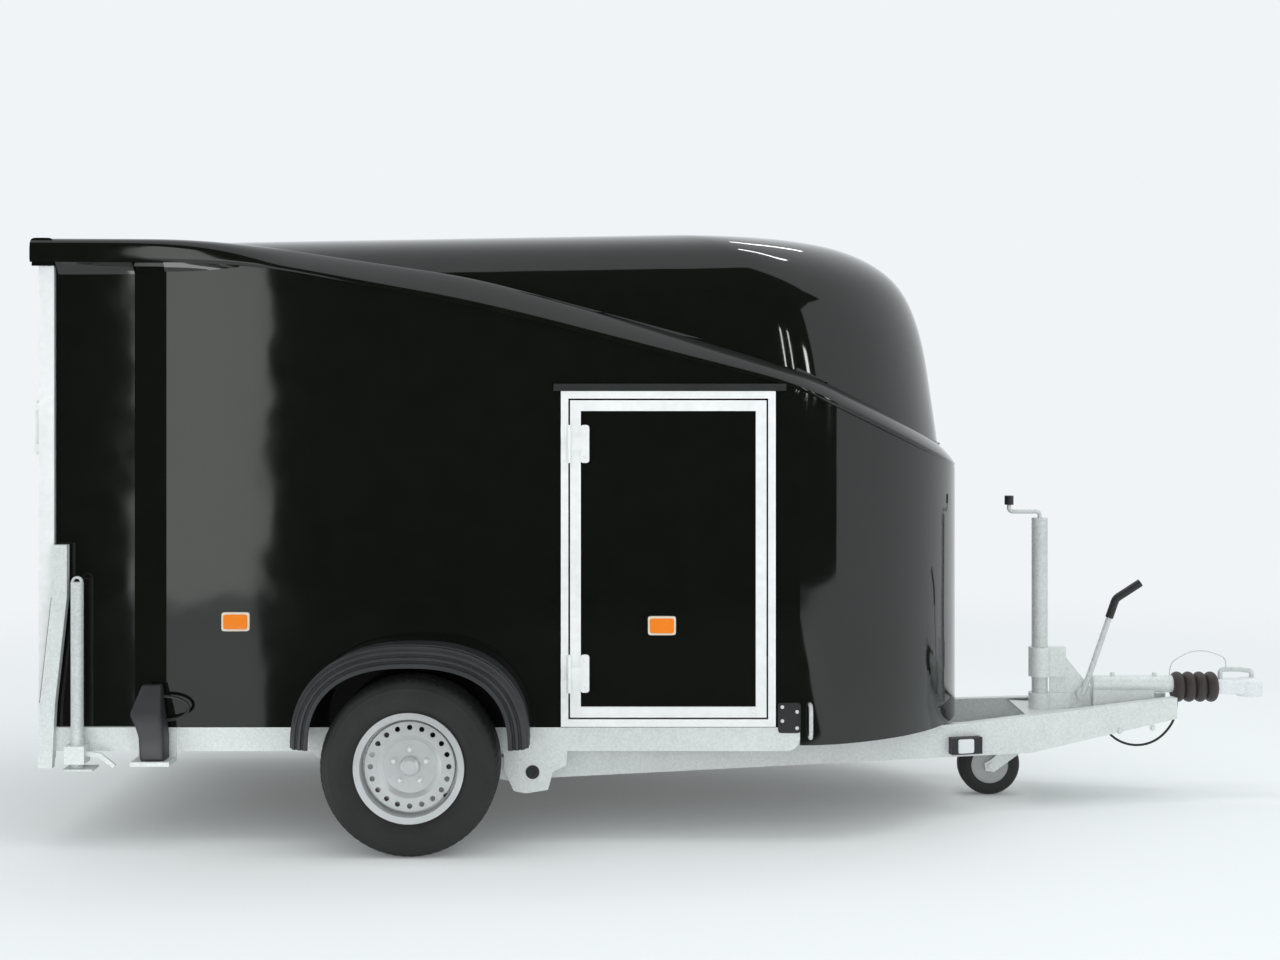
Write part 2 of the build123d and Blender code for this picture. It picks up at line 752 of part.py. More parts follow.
# Overrun housing: drawn tube on a saddle that bolts to the plate
draw_z = 415.0
draw_r = 32.0
housing_rear = axle_x + 2470.0
housing_front = axle_x + 2772.0
saddle_half = 24.0
with BuildPart() as overrun_housing:
    with BuildSketch(Plane.YZ.offset(housing_rear)):
        with Locations((0, draw_z)):
            Circle(draw_r)
        with Locations((0, (plate_z + plate_thick + draw_z) / 2)):
            Rectangle(2 * saddle_half, draw_z - plate_z - plate_thick)
    extrude(amount=plate_front - housing_rear)
    with BuildSketch(Plane.YZ.offset(plate_front)):
        with Locations((0, draw_z)):
            Circle(draw_r)
    extrude(amount=housing_front - plate_front)
overrun_housing.part.label = "overrun_housing"
export_step(overrun_housing.part, "parts/overrun_housing.step")

# Rubber bellows with four lobes
bellows_r = 57.0
bellows_root = 42.0
lobes = 4
head_rear = axle_x + 2940.0
lobe = (head_rear - housing_front) / lobes
with BuildPart() as bellows:
    with BuildSketch(Plane.XZ):
        with BuildLine():
            for n in range(lobes):
                near = housing_front + n * lobe
                ThreePointArc(
                    (near, draw_z - 11 + bellows_root),
                    (near + lobe / 2, draw_z - 11 + bellows_r),
                    (near + lobe, draw_z - 11 + bellows_root),
                )
            Polyline(
                (head_rear, draw_z - 11 + bellows_root),
                (head_rear, draw_z - 11),
                (housing_front, draw_z - 11),
                (housing_front, draw_z - 11 + bellows_root),
            )
        make_face()
    revolve(axis=Axis((0, 0, draw_z - 11), (1, 0, 0)))
bellows.part.label = "bellows"
export_step(bellows.part, "parts/bellows.step")

# Coupling head: shank and a socket cup for the tow ball, open below
cup_r = 50.0
ball_x = axle_x + front_reach - cup_r
cup_bottom = 371.0
cup_top = 440.0
cup_shoulder = 408.0
cup_flat = cup_r - (cup_top - cup_shoulder)
socket_r = 25.3
socket_deep = 42.0
shank_half = 30.0
shank_high = cup_top - cup_bottom - 14.0
with BuildPart() as coupling_head:
    with BuildSketch(Plane.XZ):
        with BuildLine():
            Line((ball_x, cup_bottom), (ball_x + cup_r - 4, cup_bottom))
            Line((ball_x + cup_r - 4, cup_bottom), (ball_x + cup_r, cup_bottom + 8))
            Line((ball_x + cup_r, cup_bottom + 8), (ball_x + cup_r, cup_shoulder))
            RadiusArc(
                (ball_x + cup_r, cup_shoulder),
                (ball_x + cup_flat, cup_top),
                cup_shoulder - cup_top,
            )
            Line((ball_x + cup_flat, cup_top), (ball_x, cup_top))
            Line((ball_x, cup_top), (ball_x, cup_bottom))
        make_face()
    revolve(axis=Axis((ball_x, 0, 0), (0, 0, 1)))
    with BuildSketch(Plane.YZ.offset(head_rear)):
        with Locations((0, cup_bottom + 8 + shank_high / 2)):
            RectangleRounded(2 * shank_half, shank_high, 12)
    with BuildSketch(Plane.YZ.offset(ball_x)):
        with Locations((0, cup_bottom + 8 + shank_high / 2)):
            RectangleRounded(2 * cup_r - 12, shank_high, 12)
    loft()
    with BuildSketch(Plane.XY.offset(cup_bottom)):
        with Locations((ball_x, 0)):
            Circle(socket_r)
    extrude(amount=socket_deep, mode=Mode.SUBTRACT)
coupling_head.part.label = "coupling_head"
export_step(coupling_head.part, "parts/coupling_head.step")

# Coupling handle: a bent bar over the head
handle_r = 9.0
handle_rise = 30.0
with BuildPart() as coupling_handle:
    with BuildLine() as handle_path:
        FilletPolyline(
            (ball_x + 10, 0, cup_top),
            (ball_x + 10, 0, cup_top + 24),
            (ball_x - 40, 0, cup_top + handle_rise),
            (head_rear + 16, 0, cup_top + handle_rise),
            (head_rear + 16, 0, cup_bottom + shank_high + 8),
            radius=14,
        )
    with BuildSketch(Plane(origin=handle_path.line @ 0, z_dir=handle_path.line % 0)):
        Circle(handle_r)
    sweep()
coupling_handle.part.label = "coupling_handle"
export_step(coupling_handle.part, "parts/coupling_handle.step")

# Jockey bracket: clamp block round the leg, bolted to the plate
bracket_top = 555.0
bracket_half = 42.0
gusset_front = housing_rear
with BuildPart() as jockey_bracket:
    with BuildSketch(Plane.XY.offset(plate_z + plate_thick)):
        with Locations((jockey_x, 0)):
            Circle(bracket_half)
            Rectangle(110, 2 * 22, align=(Align.MIN, Align.CENTER))
            Circle(jockey_r, mode=Mode.SUBTRACT)
    extrude(amount=60)
    with BuildSketch(Plane.XY.offset(bracket_top - 110)):
        with Locations((jockey_x, 0)):
            Circle(bracket_half)
            Rectangle(95, 2 * 22, align=(Align.MIN, Align.CENTER))
            Circle(jockey_r, mode=Mode.SUBTRACT)
    extrude(amount=110)
    with BuildSketch(Plane.XZ.offset(-6)):
        with BuildLine():
            Polyline(
                (jockey_x + 38, plate_z + plate_thick),
                (gusset_front - 5, plate_z + plate_thick),
                (gusset_front - 5, 400),
                (jockey_x + 95, bracket_top - 35),
                (jockey_x + 38, bracket_top - 35),
                close=True,
            )
        make_face()
    extrude(amount=12)
jockey_bracket.part.label = "jockey_bracket"
export_step(jockey_bracket.part, "parts/jockey_bracket.step")

# Jockey leg: outer tube, with the crank on its cap
jockey_wall = 4.0
jockey_bottom = 292.0
jockey_top = 1044.0
stem_r = jockey_r - jockey_wall - pin_gap
with BuildPart() as jockey_tube:
    with BuildSketch(Plane.XY.offset(jockey_bottom)):
        with Locations((jockey_x, 0)):
            Circle(jockey_r)
            Circle(jockey_r - jockey_wall, mode=Mode.SUBTRACT)
    extrude(amount=jockey_top - jockey_bottom)
    with BuildSketch(Plane.XY.offset(jockey_top - 12)):
        with Locations((jockey_x, 0)):
            Circle(jockey_r)
    extrude(amount=12)
jockey_tube.part.label = "jockey_tube"
export_step(jockey_tube.part, "parts/jockey_tube.step")

crank_reach = 116.0
crank_r = 8.0
with BuildPart() as jockey_crank:
    with BuildLine() as crank_path:
        FilletPolyline(
            (jockey_x, 0, jockey_top),
            (jockey_x, 0, jockey_top + 24),
            (jockey_x - crank_reach, 0, jockey_top + 24),
            (jockey_x - crank_reach, 0, jockey_top + 50),
            radius=14,
        )
    with BuildSketch(Plane(origin=crank_path.line @ 0, z_dir=crank_path.line % 0)):
        Circle(crank_r)
    sweep()
jockey_crank.part.label = "jockey_crank"
export_step(jockey_crank.part, "parts/jockey_crank.step")

with BuildPart() as crank_knob:
    with BuildSketch(Plane.XY.offset(jockey_top + 50)):
        with Locations((jockey_x - crank_reach, 0)):
            Circle(17)
    extrude(amount=34)
crank_knob.part.label = "crank_knob"
export_step(crank_knob.part, "parts/crank_knob.step")

# Jockey swivel: stem in the tube, crown and trailing fork
castor_r = 115.5
castor_width = 80.0
castor_x = jockey_x - 196.0
fork_thick = 6.0
fork_gap = castor_width / 2 + move_gap
crown_top = jockey_bottom - move_gap
crown_low = crown_top - 46.0
axle_pin_r = 10.0
with BuildPart() as jockey_fork:
    with BuildSketch(Plane.XY.offset(crown_low)):
        with Locations((jockey_x, 0)):
            Circle(stem_r)
    extrude(amount=470 - crown_low)
    with BuildSketch(Plane.XY.offset(crown_low)):
        with Locations((jockey_x - 4, 0)):
            Rectangle(64, 2 * fork_gap + 2 * fork_thick)
    extrude(amount=crown_top - crown_low)
    for face in (fork_gap, -fork_gap - fork_thick):
        with BuildSketch(Plane.XZ.offset(face)):
            with BuildLine():
                Polyline(
                    (jockey_x + 28, crown_low + 4),
                    (jockey_x + 28, crown_top),
                    (jockey_x - 36, crown_top),
                    (castor_x + 6, castor_r + 24),
                    (castor_x - 22, castor_r + 8),
                    (castor_x - 18, castor_r - 20),
                    (castor_x + 14, castor_r - 24),
                    close=True,
                )
            make_face()
        extrude(amount=fork_thick)
    with BuildSketch(Plane.XZ.offset(-fork_gap - fork_thick - 4)):
        with Locations((castor_x, castor_r)):
            Circle(axle_pin_r)
    extrude(amount=2 * (fork_gap + fork_thick + 4))
jockey_fork.part.label = "jockey_fork"
export_step(jockey_fork.part, "parts/jockey_fork.step")

castor_seat = 70.0
# half of the castor tyre's section: inset from its side, radius
castor_rows = [(0, castor_seat), (0, castor_r - 26), (7, castor_r - 9), (24, castor_r)]
with BuildPart() as jockey_tyre:
    with BuildSketch(Plane.YZ.offset(castor_x)):
        with BuildLine():
            near_side = [(inset - castor_width / 2, castor_r + r) for inset, r in castor_rows]
            far_side = [(castor_width / 2 - inset, castor_r + r) for inset, r in castor_rows]
            Polyline(*near_side, *reversed(far_side), close=True)
        make_face()
    revolve(axis=Axis((castor_x, 0, castor_r), (0, 1, 0)))
jockey_tyre.part.label = "jockey_tyre"
export_step(jockey_tyre.part, "parts/jockey_tyre.step")

with BuildPart() as jockey_rim:
    with BuildSketch(Plane.XZ.offset(-castor_width / 2 + 4)):
        with Locations((castor_x, castor_r)):
            Circle(castor_seat)
            Circle(axle_pin_r + pin_gap, mode=Mode.SUBTRACT)
    extrude(amount=castor_width - 8)
jockey_rim.part.label = "jockey_rim"
export_step(jockey_rim.part, "parts/jockey_rim.step")

# Handbrake: lever on the gusset's right face with a bent grip
brake_y = -21.0
brake_r = 11.0
brake_x = axle_x + 2430.0
brake_z = 380.0
brake_knee = (axle_x + 2530, 668)
with BuildPart() as handbrake_lever:
    with BuildLine() as brake_path:
        Line((brake_x, brake_y, brake_z), (brake_knee[0], brake_y, brake_knee[1]))
    with BuildSketch(Plane(origin=brake_path.line @ 0, z_dir=brake_path.line % 0)):
        Circle(brake_r)
    sweep()
    with BuildSketch(Plane.XZ.offset(6)):
        with Locations((brake_x, brake_z)):
            Circle(24)
    extrude(amount=21)
handbrake_lever.part.label = "handbrake_lever"
export_step(handbrake_lever.part, "parts/handbrake_lever.step")

with BuildPart() as handbrake_grip:
    with BuildLine() as grip_path:
        FilletPolyline(
            (brake_knee[0], brake_y, brake_knee[1]),
            (1.25 * brake_knee[0] - 0.25 * brake_x, brake_y, 1.25 * brake_knee[1] - 0.25 * brake_z),
            (axle_x + 2648, brake_y, 800),
            radius=40,
        )
    with BuildSketch(Plane(origin=grip_path.line @ 0, z_dir=grip_path.line % 0)):
        Circle(brake_r + 4)
    sweep()
handbrake_grip.part.label = "handbrake_grip"
export_step(handbrake_grip.part, "parts/handbrake_grip.step")

# Front position lamps on the drawbar arms' outer faces
lamp_x = axle_x + 1930.0
lamp_z = 240.0
with BuildPart() as front_lamps:
    with BuildSketch(bar_plane.offset(bar_width / 2)):
        with Locations(((lamp_x - bar_rear_x) * bar_ratio, lamp_z)):
            Rectangle(118, 60)
    extrude(amount=32)
    mirror(about=Plane.XZ)
front_lamps.part.label = "front_lamps"
export_step(front_lamps.part, "parts/front_lamps.step")

# Rear ramp posts: cranked bars that carry the ramp's hinge pins: x from the body's end, height
post_deep = 30.0
post_rows = [(-2, 1010), (49, 1010), (49, 835), (9, 475), (-1, 259), (-49, 259), (-42, 475), (-2, 835)]
ramp_pin_r = 10.0
ramp_x = body_rear - 26.0
ramp_z = 290.0
ramp_half = body_half - move_gap - 2.0
ramp_in = body_rear - move_gap
ramp_thick = 52.0
ramp_top = header_bottom - move_gap - 2.0
ramp_bottom = rail_top + 8.0
lug_wide = 22.0
with BuildPart() as ramp_posts:
    with BuildSketch(Plane.XZ.offset(body_half)):
        with BuildLine():
            Polyline(*[(body_rear + x, z) for x, z in post_rows], close=True)
        make_face()
    extrude(amount=post_deep)
    with BuildSketch(Plane.XZ.offset(ramp_half - lug_wide - 2)):
        with Locations((ramp_x, ramp_z)):
            Circle(ramp_pin_r)
    extrude(amount=body_half - ramp_half + lug_wide + 2)
    mirror(about=Plane.XZ)
ramp_posts.part.label = "ramp_posts"
export_step(ramp_posts.part, "parts/ramp_posts.step")

# Rear ramp: frame with hinge lugs, board and locking bars
ramp_bar = 50.0
ramp_mid_z = (ramp_top + ramp_bottom) / 2
ramp_high = ramp_top - ramp_bottom
with BuildPart() as ramp_frame:
    with BuildSketch(Plane.YZ.offset(ramp_in - ramp_thick)):
        with Locations((0, ramp_mid_z)):
            Rectangle(2 * ramp_half, ramp_high)
            Rectangle(2 * (ramp_half - ramp_bar), ramp_high - 2 * ramp_bar, mode=Mode.SUBTRACT)
    extrude(amount=ramp_thick)
    for side in (-1, 1):
        with BuildSketch(Plane.XZ.offset(-side * (ramp_half - lug_wide / 2) - lug_wide / 2)):
            with BuildLine():
                Polyline(
                    (ramp_in - ramp_thick, ramp_bottom),
                    (ramp_in, ramp_bottom),
                    (ramp_x + 20, ramp_z),
                    (ramp_x - 20, ramp_z),
                    close=True,
                )
            make_face()
            with Locations((ramp_x, ramp_z)):
                Circle(20)
                Circle(ramp_pin_r + pin_gap, mode=Mode.SUBTRACT)
        extrude(amount=lug_wide)
ramp_frame.part.label = "ramp_frame"
export_step(ramp_frame.part, "parts/ramp_frame.step")

with BuildPart() as ramp_panel:
    with BuildSketch(Plane.YZ.offset(ramp_in - ramp_thick + 6)):
        with Locations((0, ramp_mid_z)):
            Rectangle(2 * (ramp_half - ramp_bar), ramp_high - 2 * ramp_bar)
    extrude(amount=ramp_thick - 12)
ramp_panel.part.label = "ramp_panel"
export_step(ramp_panel.part, "parts/ramp_panel.step")

latch_low = 1310.0
latch_high = 1500.0
with BuildPart() as ramp_latches:
    for side in (-1, 1):
        with BuildSketch(Plane.XY.offset(latch_low)):
            with Locations((ramp_in - ramp_thick - 12, side * (ramp_half - 24))):
                Circle(7)
        extrude(amount=latch_high - latch_low)
        for level in (latch_low + 25, latch_high - 25):
            with Locations((ramp_in - ramp_thick - 9.5, side * (ramp_half - 24), level)):
                Box(19, 34, 26)
ramp_latches.part.label = "ramp_latches"
export_step(ramp_latches.part, "parts/ramp_latches.step")

# Tail lamps on the rear beam, below the ramp's lower edge
tail_wide = 200.0
tail_high = 74.0
tail_deep = 38.0
tail_y = body_half - rail_width - move_gap - tail_wide / 2
beam_rear = axle_x + cross_rows[0][0] - cross_rows[0][1] / 2
with BuildPart() as tail_lamps:
    with BuildSketch(Plane.YZ.offset(beam_rear - tail_deep)):
        for side in (-1, 1):
            with Locations((side * tail_y, rail_bottom + rail_height / 2 - 5)):
                RectangleRounded(tail_wide, tail_high, 14)
    extrude(amount=tail_deep)
tail_lamps.part.label = "tail_lamps"
export_step(tail_lamps.part, "parts/tail_lamps.step")

# Prop stands: sliding tubes with a foot plate, in clamps on the rear corners
prop_x = body_rear + 86.0
prop_y = body_half + 36.0
prop_r = 21.2
prop_foot = 258.0
prop_top = 887.0
foot_thick = 6.0
prop_fit = 0.08
clamp_low = 280.0
clamp_high = 340.0
with BuildPart() as prop_clamps:
    with BuildSketch(Plane.XY.offset(clamp_low)):
        with Locations((prop_x, -prop_y)):
            Rectangle(66, 2 * (prop_y - body_half))
            Circle(prop_r + prop_fit, mode=Mode.SUBTRACT)
    extrude(amount=clamp_high - clamp_low)
    with BuildSketch(Plane.XZ.offset(prop_y - 6)):
        with BuildLine():
            Polyline(
                (prop_x + 33, 318),
                (prop_x + 80, 312),
                (prop_x + 130, 272),
                (prop_x + 122, 262),
                (prop_x + 74, 296),
                (prop_x + 33, 302),
                close=True,
            )
        make_face()
    extrude(amount=12)
    mirror(about=Plane.XZ)
prop_clamps.part.label = "prop_clamps"
export_step(prop_clamps.part, "parts/prop_clamps.step")

with BuildPart() as prop_right:
    with BuildSketch(Plane.XY.offset(prop_foot + foot_thick)):
        with Locations((prop_x, -prop_y)):
            Circle(prop_r)
    extrude(amount=prop_top - prop_foot - foot_thick)
    with BuildSketch(Plane.XY.offset(prop_foot)):
        with Locations((prop_x + 12, -prop_y)):
            Rectangle(100, 80)
    extrude(amount=foot_thick)
    with BuildSketch(Plane.XZ.offset(prop_y - 5)):
        with Locations((prop_x, prop_top)):
            Circle(19)
            Circle(11, mode=Mode.SUBTRACT)
    extrude(amount=10)
prop_right.part.label = "prop_right"
export_step(prop_right.part, "parts/prop_right.step")

with BuildPart() as prop_left:
    mirror(prop_right.part, about=Plane.XZ)
prop_left.part.label = "prop_left"
export_step(prop_left.part, "parts/prop_left.step")

# Wheel chock stowed upright in its holder on the right rail
chock_rear = body_rear + 288.0
chock_front = chock_rear + 118.0
chock_low = 294.0
chock_high = 562.0
with BuildPart() as wheel_chock:
    with BuildSketch(Plane.XZ.offset(body_half + 8)):
        with BuildLine():
            Line((chock_rear, chock_low), (chock_rear + 20, chock_high))
            Line((chock_rear + 20, chock_high), (chock_rear + 52, chock_high))
            RadiusArc((chock_rear + 52, chock_high), (chock_front, chock_low + 36), -tyre_r)
            Line((chock_front, chock_low + 36), (chock_front, chock_low))
            Line((chock_front, chock_low), (chock_rear, chock_low))
        make_face()
    extrude(amount=90)
wheel_chock.part.label = "wheel_chock"
export_step(wheel_chock.part, "parts/wheel_chock.step")

with BuildPart() as chock_holder:
    with BuildSketch(Plane.XZ.offset(body_half)):
        with BuildLine():
            Polyline(
                (chock_rear - 6, 280),
                (chock_rear - 6, 380),
                (chock_front + 6, 380),
                (chock_front + 6, 280),
                close=True,
            )
        make_face()
    extrude(amount=8)
    with Locations(((chock_rear + chock_front) / 2, -(body_half + 53), 287)):
        Box(chock_front - chock_rear + 12, 106, 14)
chock_holder.part.label = "chock_holder"
export_step(chock_holder.part, "parts/chock_holder.step")

# Grab handles at the nose's lower rear corners
grab_x = nose_start + 34.0
grab_r = 7.0
grab_foot = body_half - nose_corner + (nose_corner**2 - (grab_x - grab_r - nose_start) ** 2) ** 0.5
grab_out = 38.0
with BuildPart() as grab_handles:
    with BuildLine() as grab_path:
        FilletPolyline(
            (grab_x, -grab_foot, 468),
            (grab_x, -(body_half + grab_out), 468),
            (grab_x, -(body_half + grab_out), 358),
            (grab_x, -grab_foot, 358),
            radius=26,
        )
    with BuildSketch(Plane(origin=grab_path.line @ 0, z_dir=grab_path.line % 0)):
        Circle(grab_r)
    sweep()
    mirror(about=Plane.XZ)
grab_handles.part.label = "grab_handles"
export_step(grab_handles.part, "parts/grab_handles.step")


def cord_radii(points):
    """Bend radius at each inner point: 0.45 of the shorter run over the tangent of half the turn."""
    radii = []
    for a, b, c in zip(points, points[1:], points[2:]):
        into = Vector(*b) - Vector(*a)
        away = Vector(*c) - Vector(*b)
        turn = radians(into.get_angle(away))
        radii.append(0.45 * min(into.length, away.length) / tan(turn / 2))
    return radii


# Electric cable from the drawbar up to its plug beside the bellows
cable_r = 4.5
plug_r = 17.0
plug_low = 372.0
plug_y = bellows_r + plug_r + 2.0
cable_points = [
    (axle_x + 2815, plug_y, plug_low),
    (axle_x + 2815, plug_y, plug_low - 45),
    (axle_x + 2796, 46, 268),
    (axle_x + 2748, 25, 215),
    (axle_x + 2690, 12, 184),
    (axle_x + 2622, 6, 179),
    (axle_x + 2556, 2, 204),
    (axle_x + 2510, 0, 258),
    (axle_x + 2510, 0, plate_z),
]
cable_radii = cord_radii(cable_points)
print("electric cable radii", [round(r, 1) for r in cable_radii])
with BuildPart() as electric_cable:
    with BuildLine() as cable_path:
        FilletPolyline(*cable_points, radius=cable_radii)
    with BuildSketch(Plane(origin=cable_path.line @ 0, z_dir=cable_path.line % 0)):
        Circle(cable_r)
    sweep()
electric_cable.part.label = "electric_cable"
export_step(electric_cable.part, "parts/electric_cable.step")

with BuildPart() as cable_plug:
    with BuildSketch(Plane.XY.offset(plug_low)):
        with Locations((axle_x + 2815, plug_y)):
            Circle(plug_r)
    extrude(amount=70)
cable_plug.part.label = "cable_plug"
export_step(cable_plug.part, "parts/cable_plug.step")

# Breakaway cable from the housing up and over to the coupling handle
wire_r = 2.0
wire_points = [
    (axle_x + 2764, 0, draw_z + draw_r),
    (axle_x + 2764, 0, draw_z + draw_r + 40),
    (axle_x + 2796, -6, 517),
    (axle_x + 2848, -8, 541),
    (axle_x + 2902, -6, 541),
    (axle_x + 2950, -3, 525),
    (head_rear + 38, 0, cup_top + handle_rise + handle_r + 32),
    (head_rear + 38, 0, cup_top + handle_rise + handle_r),
]
wire_radii = cord_radii(wire_points)
print("breakaway cable radii", [round(r, 1) for r in wire_radii])
with BuildPart() as breakaway_cable:
    with BuildLine() as wire_path:
        FilletPolyline(*wire_points, radius=wire_radii)
    with BuildSketch(Plane(origin=wire_path.line @ 0, z_dir=wire_path.line % 0)):
        Circle(wire_r)
    sweep()
breakaway_cable.part.label = "breakaway_cable"
export_step(breakaway_cable.part, "parts/breakaway_cable.step")
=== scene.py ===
from math import pi, radians

import bmesh
import bpy
import numpy as np
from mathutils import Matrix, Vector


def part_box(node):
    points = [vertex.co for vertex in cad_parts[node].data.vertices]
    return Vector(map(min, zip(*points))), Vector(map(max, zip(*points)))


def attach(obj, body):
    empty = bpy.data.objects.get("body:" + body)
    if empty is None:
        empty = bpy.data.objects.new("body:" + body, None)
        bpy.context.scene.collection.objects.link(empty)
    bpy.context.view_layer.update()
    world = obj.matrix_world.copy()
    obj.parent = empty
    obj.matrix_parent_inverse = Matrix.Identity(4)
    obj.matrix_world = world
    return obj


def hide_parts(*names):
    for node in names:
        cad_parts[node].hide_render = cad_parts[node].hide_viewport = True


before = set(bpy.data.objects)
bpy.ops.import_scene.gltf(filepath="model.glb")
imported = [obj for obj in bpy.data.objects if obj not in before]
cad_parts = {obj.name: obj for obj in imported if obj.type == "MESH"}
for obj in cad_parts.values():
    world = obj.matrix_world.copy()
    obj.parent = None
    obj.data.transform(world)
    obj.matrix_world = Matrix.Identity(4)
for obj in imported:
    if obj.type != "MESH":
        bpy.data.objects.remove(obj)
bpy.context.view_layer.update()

AXLE = -0.9065  # the axle's place along the trailer, in metres


# Chassis: side rails, cross members, drawbar arms and brackets, cut and folded from steel
# sheet, welded, then dipped in zinc, which leaves a pale grey skin of soft spangles with
# faint run-off stains.
def add(tree, kind, feeds=None, **settings):
    """One shader node: settings are its options; feeds maps its inputs to values or to other sockets."""
    made = tree.nodes.new("ShaderNode" + kind)
    for key, value in settings.items():
        setattr(made, key, value)
    for key, value in (feeds or {}).items():
        if isinstance(value, bpy.types.NodeSocket):
            tree.links.new(value, made.inputs[key])
        else:
            made.inputs[key].default_value = value
    return made


def effect(name, own, dark, light, smooth, rough):
    """An empty shader group for a finish: its tree, its input node and its output node.

    It takes a place on the surface, one input of its own, two colours and two roughnesses, each with
    a usual value, and gives a colour, a roughness and a height.
    """
    tree = bpy.data.node_groups.new(name, "ShaderNodeTree")
    takes = [("Vector", "Vector", (0, 0, 0)), own, ("Dark", "Color", dark), ("Light", "Color", light),
             ("Smooth", "Float", smooth), ("Rough", "Float", rough)]
    for label, kind, value in takes:
        socket = tree.interface.new_socket(label, in_out="INPUT", socket_type="NodeSocket" + kind)
        socket.default_value = value
    for label, kind in (("Color", "Color"), ("Roughness", "Float"), ("Height", "Float")):
        tree.interface.new_socket(label, in_out="OUTPUT", socket_type="NodeSocket" + kind)
    return tree, tree.nodes.new("NodeGroupInput"), tree.nodes.new("NodeGroupOutput")


def deliver(tree, given, out, shade, wear, height):
    """Feed a group's outputs: dark to light with shade, smooth to rough with wear, height as it is."""
    dark, light = given.outputs["Dark"], given.outputs["Light"]
    smooth, rough = given.outputs["Smooth"], given.outputs["Rough"]
    colour = add(tree, "Mix", {0: shade, 6: dark, 7: light}, data_type="RGBA")
    roughness = add(tree, "MapRange", {"Value": wear, "To Min": smooth, "To Max": rough})
    tree.links.new(colour.outputs[2], out.inputs["Color"])
    tree.links.new(roughness.outputs[0], out.inputs["Roughness"])
    tree.links.new(height, out.inputs["Height"])


zinc_spangle, given, out = effect("zinc_spangle", ("Cells", "Float", 90.0), dark=(0.4, 0.4, 0.4, 1),
                                  light=(0.7, 0.7, 0.7, 1), smooth=0.3, rough=0.5)
spot = given.outputs["Vector"]
cells = add(zinc_spangle, "TexVoronoi", {"Vector": spot, "Scale": given.outputs["Cells"]})
clouds = add(zinc_spangle, "TexNoise", {"Vector": spot, "Scale": 7.0, "Detail": 5.0})
blend = add(zinc_spangle, "Math", {0: cells.outputs["Color"], 1: clouds.outputs["Fac"]}, operation="ADD")
share = add(zinc_spangle, "MapRange", {"Value": blend.outputs[0], "From Min": 0.35, "From Max": 1.45})
deliver(zinc_spangle, given, out, share.outputs[0], cells.outputs["Color"], clouds.outputs["Fac"])


def finish(name, group, values, bump=0.0, **sockets):
    """A Principled finish: a group gives what varies over the surface, sockets hold what is constant."""
    made = bpy.data.materials.new(name)
    made.use_nodes = True
    tree = made.node_tree
    shader = tree.nodes["Principled BSDF"]
    for label, value in sockets.items():
        shader.inputs[label.replace("_", " ")].default_value = value
    place = add(tree, "TexCoord")
    look = add(tree, "Group", node_tree=group)
    tree.links.new(place.outputs["Object"], look.inputs["Vector"])
    for label, value in values.items():
        look.inputs[label].default_value = value
    tree.links.new(look.outputs["Color"], shader.inputs["Base Color"])
    tree.links.new(look.outputs["Roughness"], shader.inputs["Roughness"])
    if bump:
        relief = add(tree, "Bump", {"Height": look.outputs["Height"], "Distance": bump})
        tree.links.new(relief.outputs[0], shader.inputs["Normal"])
    return made


def coat(material, *nodes):
    """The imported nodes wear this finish."""
    for label in nodes:
        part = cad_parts[label]
        part.data.materials.clear()
        part.data.materials.append(material)


galvanised = finish(
    "galvanised_steel", zinc_spangle,
    {"Cells": 150.0, "Dark": (0.60, 0.63, 0.62, 1), "Light": (0.74, 0.77, 0.76, 1),
     "Smooth": 0.34, "Rough": 0.5},
    bump=0.0003, Metallic=0.15,
)
coat(galvanised, "side_rails", "cross_members", "drawbar_arms", "drawbar_plate", "suspension_arms",
     "suspension_brackets", "overrun_housing", "jockey_bracket", "ramp_posts", "prop_clamps", "chock_holder")


def turned(centres, axis, profile, sides, across):
    """Profile rows (distance along the axis, radius) turned about the axis through each centre.

    Point = centre + axis * along + radius * (cos t * across + sin t * (axis x across)).
    """
    axis, across = np.asarray(axis, float), np.asarray(across, float)
    t = np.arange(sides) * 2 * pi / sides
    ring = np.cos(t)[:, None] * across + np.sin(t)[:, None] * np.cross(axis, across)
    along, radius = np.asarray(profile, float).T
    shape = along[:, None, None] * axis + radius[:, None, None] * ring[None]
    return np.asarray(centres, float)[:, None, None, :] + shape[None]


def quads(rows, columns, first):
    """Corner numbers of the quads of one grid, whose columns close into a ring."""
    number = first + np.arange(rows * columns).reshape(rows, columns)
    number = np.concatenate([number, number[:, :1]], axis=1)
    corners = [number[:-1, :-1], number[1:, :-1], number[1:, 1:], number[:-1, 1:]]
    return np.stack(corners, -1).reshape(-1, 4)


def piece(name, grids, body, material, crease=35.0):
    """A piece of one or more grids of rings: equal points are merged, so poles and seams close."""
    points, faces, first = [], [], 0
    for grid in grids:
        rows, columns = grid.shape[:2]
        points.append(grid.reshape(-1, 3))
        faces.append(quads(rows, columns, first))
        first += rows * columns
    mesh = bpy.data.meshes.new(name)
    mesh.from_pydata(np.concatenate(points), [], np.concatenate(faces))
    work = bmesh.new()
    work.from_mesh(mesh)
    bmesh.ops.remove_doubles(work, verts=work.verts, dist=1e-6)
    bmesh.ops.recalc_face_normals(work, faces=work.faces)
    work.to_mesh(mesh)
    work.free()
    mesh.polygons.foreach_set("use_smooth", np.ones(len(mesh.polygons), bool))
    mesh.set_sharp_from_angle(angle=radians(crease))
    mesh.materials.append(material)
    made = bpy.data.objects.new(name, mesh)
    bpy.context.collection.objects.link(made)
    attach(made, body)
    return made


